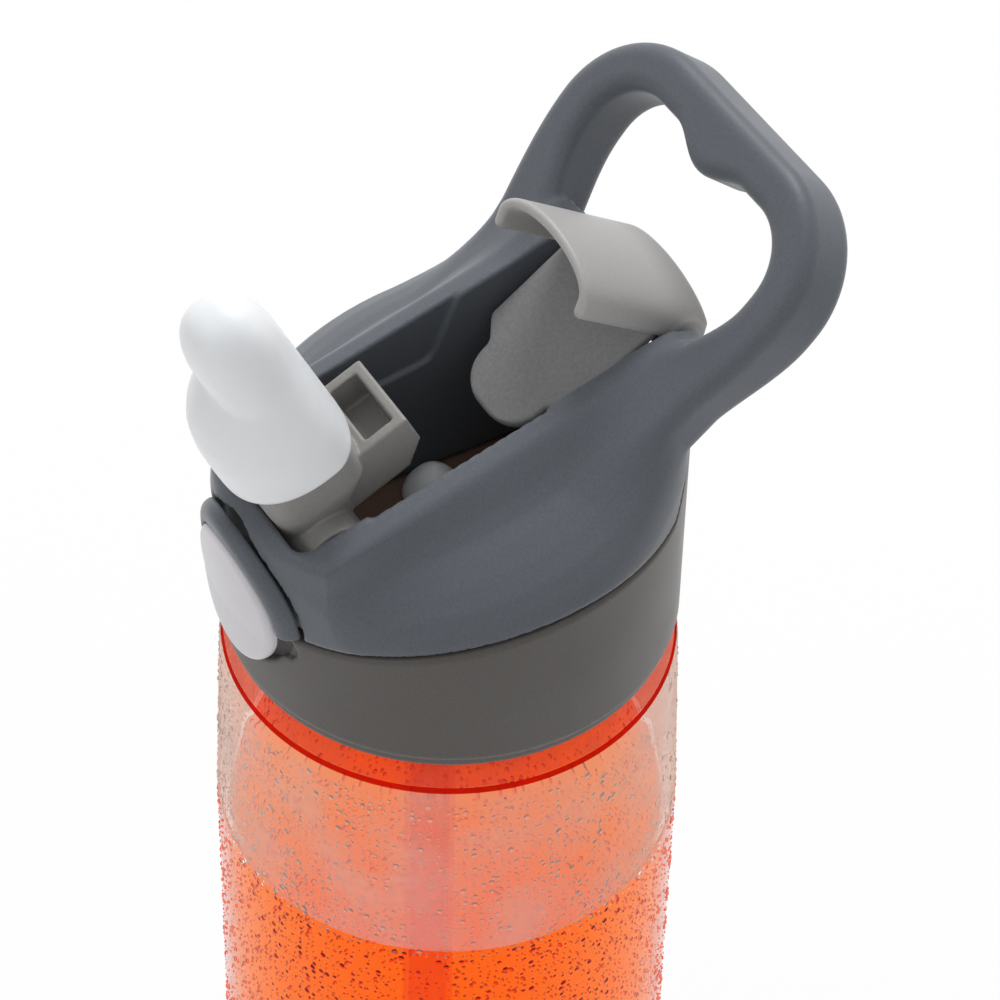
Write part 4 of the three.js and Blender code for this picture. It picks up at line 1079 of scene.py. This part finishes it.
    def field(self, x: np.ndarray, y: np.ndarray, z: np.ndarray) -> np.ndarray:
        """The whole housing: its shell with the loop, less slot, reliefs, recess and bores."""
        side = np.abs(x)
        sill = np.maximum(np.maximum(side - self.slot_half, 30 - y), 43 - z)
        body = soft_min(soft_max(self.shell(x, y, z), -sill, 1.2), self.loop(x, y, z), 5.0)
        foot = 0.148 * (y + 16) - 0.989 * (z - 34)
        front = -0.755 * (y + 16) - 0.656 * (z - 34)
        rear = 0.924 * (y - 4) - 0.382 * (z - 37)
        relief = np.maximum(soft_max(soft_max(foot, front, 1.5), rear, 1.5), side - self.slot_half - 0.8)
        recess = np.maximum(np.maximum(ellipse(x, z, 13.4, 15.2), front_skin(z) - 2.1 - np.hypot(x, y)), y)
        stem = np.maximum(np.hypot(x, z - STEM_HEIGHT) - 2.9, y + 16)
        spout_bore, shield_bore = (
            np.maximum(np.hypot(y - axis[0], z - axis[1]) - radius, side - self.bore_reach)
            for axis, radius in ((SPOUT_AXIS, 2.0), (SHIELD_AXIS, 1.8)))
        cuts = ((self.slot(x, y, z), 0.8), (relief, 0.5), (recess, 0.5), (stem, 0.3), (spout_bore, 0.3),
                (shield_bore, 0.3))
        for cut, edge in cuts:
            body = soft_max(body, -cut, edge)
        return body


@dataclass
class Lid:
    """The screw collar and what sits between it and the housing."""

    radius: float = 34.8
    deck_top: float = 14.5
    deck_underside: float = 12.3
    straw_y: float = -3.0
    straw_radius: float = 4.0
    straw_wall: float = 0.9
    straw_ends: tuple[float, float] = (9.0, 192.4)
    vent: tuple[float, float] = (-7.5, 1.4)
    vent_height: float = 6.2

    def build(self, shop: Workshop) -> None:
        """Make and dress every piece of the lid.

        Args:
            shop: Where pieces are dressed.
        """
        collar = field_surface("screw_collar", self.collar, (-36, -36, -1), (36, 36, 38), 0.42, LID)
        shop.stand_in(collar, "lid_collar", COLLAR_PLASTIC)
        # the deck and the duct wear the painted drink glow
        shop.add(self.deck(), Body.LID, DECK_PLASTIC_PAINTED_GLOW)
        duct = field_surface("drink_duct", self.duct, (-4.5, -27, -1), (4.5, 2, 13.5), 0.4, LID)
        shop.add(duct, Body.LID, DECK_PLASTIC_PAINTED_GLOW)
        # the straw's peach tint is a painted glow of the drink
        shop.stand_in(self.straw(), "straw", STRAW_PLASTIC)
        shop.stand_in(self.gasket(), "neck_gasket", SILICONE)
        shop.stand_in(self.vent_valve(), "vent_valve", SILICONE)
        shop.stand_in(self.spout_seal(), "spout_seal", SILICONE)

    def collar(self, x: np.ndarray, y: np.ndarray, z: np.ndarray) -> np.ndarray:
        """A ring with a stepped foot under a rising seam, less the pad's pocket and a round dimple."""
        radius, angle = np.hypot(x, y), np.degrees(np.arctan2(np.abs(x), -y))
        skin = radius - self.radius + 0.6 * (1 - smoothstep(1.6, 2.5, z))
        ends = soft_max(z - seam(angle), -z, 0.5)
        bore = np.where(z > self.deck_underside + 1, 32.3, 30.2) - radius
        ring = soft_max(soft_max(skin, ends, 0.9), bore, 0.4)
        pocket = np.maximum(np.maximum(ellipse(x, z, 11.2, 11.7), front_skin(z) - 1.5 - radius), y)
        turn = math.radians(17)
        aside = x * math.cos(turn) + y * math.sin(turn)
        dimple = np.maximum(np.maximum(np.hypot(aside, z - 16.2) - 2.1, self.radius - 0.6 - radius), y)
        return soft_max(soft_max(ring, -pocket, 0.5), -dimple, 0.3)

    def deck(self) -> bpy.types.Object:
        """The slot's floor: a disc with a hollow boss for the drink, as one turned and shifted sheet."""
        reach = np.concatenate([
            [0.0, 1.1, 2.2, 2.2, 2.4, 3.2, 3.4, 3.4, 3.8], np.linspace(4.6, 32.0, 18), [32.2, 32.2, 32.0]])
        base, top = self.deck_underside, self.deck_top
        height = np.concatenate([
            [base + 0.6] * 3, [18.3, 18.5, 18.5, 18.3, top + 0.4, top], np.full(18, top),
            [top - 0.2, base + 0.2, base]])
        angle = full_turn(96)
        shift = SPOUT_AXIS[0] * (1 - smoothstep(3.4, 32.0, reach))
        points = np.stack([reach[:, None] * np.cos(angle), shift[:, None] + reach[:, None] * np.sin(angle),
                           np.broadcast_to(height[:, None], (len(reach), 96))], axis=-1)
        points = np.concatenate([points, [np.broadcast_to([0, 0, base], (96, 3))]])
        return mesh_piece("slot_floor_deck", LID.apply(points), grid_faces(len(points), 96).tolist(), 40)

    def duct(self, x: np.ndarray, y: np.ndarray, z: np.ndarray) -> np.ndarray:
        """The closed channel under the deck from the straw's spigot to the boss."""
        box = np.maximum(rounded_box(x, y + 12.65, 3.4, 13.05, 1.5), np.abs(z - 9.5) - 2.8)
        spigot = np.maximum(np.hypot(x, y - self.straw_y) - 2.8, np.abs(z - 3.5) - 3.7)
        bore = np.maximum(np.hypot(x, y - self.straw_y), z - 7)
        return soft_max(soft_min(box, spigot, 1.0), 1.9 - bore, 0.3)

    def straw(self) -> bpy.types.Object:
        """An extruded tube with softened ends."""
        outer, inner = self.straw_radius, self.straw_radius - self.straw_wall
        low, high = self.straw_ends
        profile = np.array([
            [inner, low + 0.2], [inner + 0.25, low], [outer - 0.25, low], [outer, low + 0.2],
            [outer, high - 0.2], [outer - 0.25, high], [inner + 0.25, high], [inner, high - 0.2]])
        return lathe("drinking_straw", profile, 48, Placement((0, self.straw_y, 0)), closed=True)

    def gasket(self) -> bpy.types.Object:
        """A flat silicone ring with rounded rims."""
        low, high, mid = 10.4, 12.0, 11.2
        profile = np.concatenate([arc((27.8, mid), 0.8, 90, 270, 9), arc((28.7, mid), 0.8, -90, 90, 9)])
        profile[:, 1] = np.clip(profile[:, 1], low, high)
        return lathe("neck_gasket_ring", profile, 96, LID, closed=True)

    def vent_valve(self) -> bpy.types.Object:
        """A mushroom valve: a domed cap, a stem through the deck and a bulb under it."""
        seat = self.deck_top + 0.3
        bulb = self.deck_underside - 0.3
        up = np.sin(np.linspace(0, np.pi / 2, 18))
        profile = np.concatenate([
            [[0, bulb - 2.4], [1.3, bulb - 2.4], [1.6, bulb - 2.1], [2.4, bulb - 0.2], [2.3, bulb],
             [1.6, bulb], [1.6, seat], [4.5, seat], [4.75, seat + 0.15]],
            np.stack([4.75 * (1 - up**1.5) ** 0.75, seat + 0.4 + (self.vent_height - 0.4) * up], axis=-1)])
        return lathe("vent_valve_cap", profile, 48, Placement((*self.vent, LID_BASE)))

    def spout_seal(self) -> bpy.types.Object:
        """A short silicone tube between the deck's boss and the spout's barrel."""
        low, high = self.deck_top + 4.3, 26.2
        profile = np.array([
            [2.2, low], [3.4, low], [3.4, high - 0.4], [3.1, high], [2.5, high], [2.2, high - 0.4]])
        return lathe("spout_seal_tube", profile, 40, Placement((0, SPOUT_AXIS[0], LID_BASE)), closed=True)


@dataclass
class Spout:
    """The arm that turns on two pins, the silicone mouthpiece and the spring."""

    foot: float = 15.4
    length: float = 30.5
    offset: float = 6.4
    nozzle: tuple[float, float, float] = (7.5, 6.6, 6.7)
    skirt: tuple[float, float] = (11.7, 12.9)
    wall: float = 1.6
    power: float = 0.85
    dome_from: float = 0.66
    dome_power: float = 2.3
    columns: int = 96

    def __post_init__(self) -> None:
        """Work out once how the skirt eases away upwards: with a step in front, slowly on the flanks."""
        self.skirt_share = eased([(0, 1), (0.12, 1), (0.235, 0.97), (0.33, 0.88), (0.41, 0.68), (0.46, 0.45),
                                  (0.5, 0.18), (0.53, 0), (1, 0)], 0.045)
        self.flank_share = eased([(0, 1), (0.12, 1), (0.24, 0.94), (0.36, 0.76), (0.48, 0.48), (0.6, 0.2),
                                  (0.72, 0), (1, 0)], 0.07)

    def build(self, shop: Workshop) -> None:
        """Make and dress every piece of the spout.

        Args:
            shop: Where pieces are dressed.
        """
        arm = moulded_skin("spout_arm_grey", shop.nodes["spout_arm"], 0.3, 10)
        shop.stand_in(arm, "spout_arm", ARM_PLASTIC)
        shop.stand_in(self.mouthpiece(), "spout_mouthpiece", SILICONE)
        for side, inner in ((-1, 3.7), (1, 7.5)):
            name = "right" if side > 0 else "left"
            shop.stand_in(pin(f"spout_pin_{name}_rod", 1.7, side * inner, side * 14.3, SPOUT),
                          f"spout_pin_{name}", STEEL)
        shop.stand_in(torsion_spring("spout_spring_coil", 3.0, -12.16, SPOUT), "spout_spring", STEEL)

    def mouthpiece(self) -> bpy.types.Object:
        """Superellipse rings that run from the wide skirt to a domed tip, outside and then inside.

        The tip narrows as (1 - t^2.3)^(1/2.3), and the skirt eases away by the two curves above.

        Returns:
            The closed shell.
        """
        tip, bore_tip = (np.sin(np.linspace(0, np.pi / 2, steps)) for steps in (30, 16))
        outer = self.rings(np.concatenate([np.linspace(0, 0.7, 50), 0.7 + 0.3 * tip]), 0)
        inner = self.rings(np.concatenate([np.linspace(0, 0.7, 30), 0.7 + 0.22 * bore_tip]), self.wall)
        points = np.concatenate([outer[::-1], inner])
        faces = grid_faces(len(points), self.columns).tolist()
        return mesh_piece("silicone_mouthpiece", SPOUT.apply(points), faces, 60)

    def rings(self, share: np.ndarray, inset: float) -> np.ndarray:
        """Rings of the mouthpiece's skin.

        Args:
            share: Heights as shares of the length.
            inset: How far inside the outer skin the rings lie.

        Returns:
            An array of [rings, columns, 3] points in the spout's frame.
        """
        skirt, flank = self.skirt_share(share)[:, None], self.flank_share(share)[:, None]
        end = 1.0 if inset == 0 else 0.92
        dome = np.clip((share - self.dome_from) / (end - self.dome_from), 0, 1)
        full = ((1 - dome**self.dome_power).clip(0) ** (1 / self.dome_power))[:, None]
        lip = (0.45 * (1 - np.sqrt(1 - (1 - (share / 0.02).clip(0, 1)) ** 2)))[:, None] if inset == 0 else 0.0
        angle = full_turn(self.columns)
        cos, sin = np.cos(angle), np.sin(angle)
        shrink = inset + lip
        half = (self.nozzle[0] + (self.skirt[0] - self.nozzle[0]) * flank - shrink) * full
        front = (self.nozzle[1] + (self.skirt[1] - self.nozzle[1]) * skirt - shrink) * full
        back = (self.nozzle[2] - shrink) * full
        depth = np.where(sin > 0, back, front)
        height = np.broadcast_to((self.foot + share * self.length)[:, None], depth.shape)
        return np.stack([half * signed_power(cos, self.power),
                         self.offset + depth * signed_power(sin, self.power), height], axis=-1)


def pin(name: str, radius: float, start: float, end: float, place: Placement) -> bpy.types.Object:
    """A steel pin along X with chamfered ends.

    Args:
        name: The piece's name.
        radius: Radius of the pin.
        start: Where it starts along X.
        end: Where it ends.
        place: The frame that it lies in.

    Returns:
        The new object.
    """
    low, high = min(start, end), max(start, end)
    profile = np.array([[0, low], [radius - 0.2, low], [radius, low + 0.2],
                        [radius, high - 0.2], [radius - 0.2, high], [0, high]])
    return lathe(name, profile, 40, place, axis="X")


def torsion_spring(name: str, radius: float, start: float, place: Placement) -> bpy.types.Object:
    """A wire coil about X with a straight leg at each end.

    Args:
        name: The piece's name.
        radius: Radius of the coil.
        start: Where the coil starts along X.
        place: The frame that it lies in.

    Returns:
        The new object.
    """
    wire, pitch, turns, leg = 0.7, 1.17, 3.0, 4.5
    angle = np.linspace(0, -2 * np.pi * turns, int(turns * 36))
    rise = np.linspace(0, turns * pitch, len(angle))
    coil = np.stack([start + rise, radius * np.cos(angle), radius * np.sin(angle)], axis=-1)
    away = np.linspace(leg, 0, 10, endpoint=False)[:, None] * np.array([[0, 0, 1.0]])
    path = np.concatenate([coil[0] + away, coil, coil[-1] - away[::-1]])
    return sweep(name, place.apply(path), wire_section(wire, 12), (1, 0, 0))


@dataclass
class Shield:
    """The hood that covers the folded mouthpiece, with its tongue, pin and spring."""

    half_width: float = 11.9
    rise: float = 7.8
    wall: float = 1.8
    spring_line: float = 2.2

    def build(self, shop: Workshop) -> None:
        """Make and dress every piece of the shield.

        Args:
            shop: Where pieces are dressed.
        """
        hood = field_surface("shield_hood", self.hood, (-13, -26, -5), (13, 5, 9), 0.3, SHIELD)
        tongue = field_surface("shield_tongue", self.tongue, (-13, -17, -27), (13, 0, 8), 0.3, SHIELD)
        shop.stand_in(hood, "spout_shield", SHIELD_PLASTIC)
        shop.add(tongue, Body.SHIELD, TONGUE_PLASTIC)
        shop.stand_in(pin("shield_pin_rod", 1.5, -14.3, 14.3, SHIELD), "shield_pin", STEEL)
        shop.stand_in(torsion_spring("shield_spring_coil", 2.5, -1.755, SHIELD), "shield_spring", STEEL)

    def arch(self, x: np.ndarray, z: np.ndarray, inset: float) -> np.ndarray:
        """About the distance from the hood's arch: upright sides with half an ellipse over them."""
        half, high = self.half_width - inset, self.rise - inset - self.spring_line
        up = np.maximum(z - self.spring_line, 0)
        return oval(x, up, half, high)

    def hood(self, x: np.ndarray, y: np.ndarray, z: np.ndarray) -> np.ndarray:
        """The arched wall between a raked mouth and a chamfered rear, with two lugs on the pin."""
        mouth = -0.959 * (y + 24.5) - 0.284 * (z - self.rise)
        rear = np.maximum(np.minimum(0.775 * (y + 1) + 0.631 * (z - 8.8), 3.4 + z), y - 3.4)
        ends = soft_max(soft_max(mouth, rear, 0.5), -0.3 - z, 0.8)
        wall = soft_max(self.arch(x, z, 0), -self.arch(x, z, self.wall), 0.4)
        side = np.abs(np.abs(x) - 11) - 0.9
        lugs = soft_max(np.hypot(y, z) - 3.4, side, 0.5)
        return soft_max(soft_min(soft_max(wall, ends, 1.0), lugs, 1.0), 1.8 - np.hypot(y, z), 0.3)

    def tongue(self, x: np.ndarray, y: np.ndarray, z: np.ndarray) -> np.ndarray:
        """A plate from under the hood's crest to a stepped, rounded tip."""
        back, up = y + 3.7, z - self.rise
        along, through = -0.350 * back - 0.937 * up, 0.937 * back - 0.350 * up
        tip = np.clip((along - 27.5) / 6.5, 0, 1) ** 2.3
        half = (11.6 - 3.6 * smoothstep(23.5, 27.5, along)) * (1 - tip) ** (1 / 2.3)
        outline = np.maximum(np.abs(x) - half, along - 34)
        under = np.where(z > 0, self.arch(x, z, self.wall + 0.1), -5.0)
        plate = soft_max(outline, np.abs(through - 0.9) - 0.9, 0.9)
        return soft_max(plate, np.maximum(under, 0.6 - along), 0.4)


@dataclass
class Button:
    """The brow-shaped button with its pale pad and its spring."""

    half_width: float = 10.5
    half_height: float = 11.0
    centre: float = BUTTON_HEIGHT
    travel: float = 1.5

    def build(self, shop: Workshop) -> None:
        """Make and dress every piece of the button.

        Args:
            shop: Where pieces are dressed.
        """
        brow = field_surface("button_brow", self.brow, (-15, -40, 8), (15, -28, 37), 0.3, LID)
        shop.stand_in(brow, "button_frame", HOUSING_PLASTIC)
        shop.stand_in(self.pad(), "button_pad", PAD_PLASTIC)
        coil = self.spring()
        shop.stand_in(coil, "button_spring", STEEL)
        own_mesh(coil)

    def brow(self, x: np.ndarray, y: np.ndarray, z: np.ndarray) -> np.ndarray:
        """A rounded arch over the pad, joined behind it by a plate with a guide stem."""
        out = np.hypot(x, y) - front_skin(z)
        ring = soft_max(ellipse(x, z, 13.2, 15.0), out - 2.0, 2.2)
        ring = soft_max(ring, -ellipse(x, z, self.half_width + 0.25, self.half_height + 0.25), 0.7)
        ring = soft_max(soft_max(ring, -0.3 - out, 0.5), 19.9 - z, 0.6)
        rest = np.maximum(ellipse(x, z, 12.1, 12.6), 19.9 - z)
        plate = np.maximum(np.minimum(ellipse(x, z, 9.7, 10.2), rest), np.abs(out - 0.7) - 0.4)
        stem = np.maximum(np.hypot(x, z - STEM_HEIGHT) - 1.6, np.abs(y + 33.3) - 2.3)
        return np.minimum(soft_min(ring, plate, 0.3), stem)

    def pad(self) -> bpy.types.Object:
        """An ellipse laid on the leaning front, swelling to its middle and rounded at its rim."""
        share = np.concatenate([np.linspace(0, 0.9, 16), 0.9 + 0.1 * np.sin(np.linspace(0.1, np.pi / 2, 12))])
        angle = full_turn(96)
        x = self.half_width * share[:, None] * np.cos(angle)
        z = self.centre + self.half_height * share[:, None] * np.sin(angle)
        edge = np.sqrt((1 - ((share - 0.9).clip(0) / 0.1) ** 2).clip(0))[:, None]
        swell = 0.5 * (1 - ((z - self.centre) / self.half_height) ** 2).clip(0)
        outer = front_skin(z) + 1.4 + 0.3 + (0.5 + swell) * edge
        inner = front_skin(z) + 1.4
        faces = [np.stack([x, -np.sqrt(reach**2 - x**2), z], axis=-1) for reach in (outer, inner)]
        points = np.concatenate([faces[0], faces[1][::-1]])
        quads = grid_faces(len(points), len(angle)).tolist()
        return mesh_piece("button_pad_pale", LID.apply(points), quads, 50)

    def spring(self) -> bpy.types.Object:
        """A small compression coil behind the button's back plate."""
        turns, radius, wire = 2.5, 2.3, 0.4
        low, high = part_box("button_spring")
        angle = np.linspace(0, 2 * np.pi * turns, 100)
        along = np.linspace(low.y / MM + wire / 2, high.y / MM - wire / 2, 100)
        height = LID_BASE + STEM_HEIGHT + radius * np.sin(angle)
        path = np.stack([radius * np.cos(angle), along, height], axis=-1)
        return sweep("button_spring_coil", path, wire_section(wire, 10), (0, 1, 0))


@dataclass
class Studio:
    """A pale floor, soft light from above and the camera of the photograph."""

    azimuth: float = 59.5
    elevation: float = 45.677
    roll: float = 0.82
    position: tuple[float, float, float] = (382.32, -225.29, 661.17)
    lens: float = 154.4
    shift: float = 0.05
    ambient: float = 0.58

    def build(self) -> None:
        """Set the stage."""
        self.camera()
        self.world()
        self.floor()
        self.lamp("sheen", (-0.5, 0.45, 1.2), (0, 0, 0.2), 0.6, 9.5)
        self.lamp("front_fill", (0.1, -1.2, 0.7), (0, 0, 0.2), 0.9, 1.8)
        bpy.context.scene.view_settings.view_transform = "Standard"

    def camera(self) -> None:
        """Stand the camera where the photograph was taken, rolled a little about its own line of sight."""
        a, e, k = (math.radians(v) for v in (self.azimuth, self.elevation, self.roll))
        right = np.array([math.cos(a), math.sin(a), 0])
        back = np.array([math.sin(a) * math.cos(e), -math.cos(a) * math.cos(e), math.sin(e)])
        up = np.cross(back, right)
        rolled = math.cos(k) * right + math.sin(k) * up
        upright = -math.sin(k) * right + math.cos(k) * up
        lens = bpy.data.cameras.new("photo_camera")
        lens.lens, lens.sensor_width = self.lens, 36
        lens.shift_x = self.shift
        lens.clip_start, lens.clip_end = 0.01, 50
        camera = add_object("photo_camera", lens)
        place = np.eye(4)
        place[:3, 0], place[:3, 1], place[:3, 2] = rolled, upright, back
        place[:3, 3] = np.array(self.position) * MM
        camera.matrix_world = Matrix(place.tolist())
        bpy.context.scene.camera = camera

    def seen_ray(self, tree: bpy.types.NodeTree) -> bpy.types.NodeSocket:
        """One for rays from the camera, from gloss and through clear pieces, which see a white backdrop."""
        ray = add_node(tree, "ShaderNodeLightPath")
        first = add_node(tree, "ShaderNodeMath", {
            0: ray.outputs["Is Camera Ray"], 1: ray.outputs["Is Glossy Ray"]}, operation="MAXIMUM")
        return add_node(tree, "ShaderNodeMath", {
            0: first.outputs[0], 1: ray.outputs["Is Transmission Ray"]}, operation="MAXIMUM").outputs[0]

    def world(self) -> None:
        """An even pale light, white where it is seen."""
        world = bpy.data.worlds.new("studio")
        world.use_nodes = True
        tree = world.node_tree
        tree.nodes.clear()
        strength = add_node(tree, "ShaderNodeMapRange", {
            "Value": self.seen_ray(tree), "To Min": self.ambient, "To Max": 1.0})
        light = add_node(tree, "ShaderNodeBackground", {
            "Color": (1, 1, 1, 1), "Strength": strength.outputs["Result"]})
        add_node(tree, "ShaderNodeOutputWorld", {"Surface": light.outputs["Background"]})
        bpy.context.scene.world = world

    def floor(self) -> None:
        """A wide sheet under the bottle, nearly white where it is seen, that keeps a soft shadow."""
        angle = full_turn(64)
        reach = np.array([0.0, 300.0, 1500.0])[:, None]
        points = np.stack([reach * np.cos(angle), reach * np.sin(angle), np.zeros((3, 64)) - 0.1], axis=-1)
        sheet = mesh_piece("studio_floor", points, grid_faces(3, 64).tolist())
        material = bpy.data.materials.new("white_studio_paper")
        material.use_nodes = True
        tree = material.node_tree
        tree.nodes.clear()
        share = add_node(tree, "ShaderNodeMath", {0: self.seen_ray(tree), 1: 0.9}, operation="MULTIPLY")
        paper = add_node(tree, "ShaderNodeBsdfDiffuse", {"Color": linear("#f2f2f2")})
        glow = add_node(tree, "ShaderNodeEmission", {"Color": (1, 1, 1, 1), "Strength": 1.0})
        both = add_node(tree, "ShaderNodeMixShader", {
            0: share.outputs[0], 1: paper.outputs["BSDF"], 2: glow.outputs["Emission"]})
        add_node(tree, "ShaderNodeOutputMaterial", {"Surface": both.outputs["Shader"]})
        sheet.data.materials.append(material)

    def lamp(self, name: str, place: tuple[float, float, float], target: tuple[float, float, float],
             size: float, power: float) -> None:
        """Hang one soft square lamp.

        Args:
            name: The lamp's name.
            place: Where it hangs, in metres.
            target: What it points at.
            size: Its side in metres.
            power: Its power in watts.
        """
        light = bpy.data.lights.new(name, "AREA")
        light.size, light.energy = size, power
        lamp = add_object(name, light)
        away = np.array(place) - np.array(target)
        away /= np.linalg.norm(away)
        across = np.cross([0.0, 1.0, 0.001], away)
        across /= np.linalg.norm(across)
        turn = np.eye(4)
        turn[:3, 0], turn[:3, 1], turn[:3, 2], turn[:3, 3] = across, np.cross(away, across), away, place
        lamp.matrix_world = Matrix(turn.tolist())


def main() -> None:
    """Load the frame, set the studio and build every sub-assembly in order."""
    logging.basicConfig(level=logging.INFO, format="%(name)s: %(message)s")
    shop = Workshop(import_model())
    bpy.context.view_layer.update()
    Studio().build()
    for assembly in (Vessel(), Lid(), Housing(), Spout(), Shield(), Button()):
        assembly.build(shop)


if __name__ == "__main__":
    main()
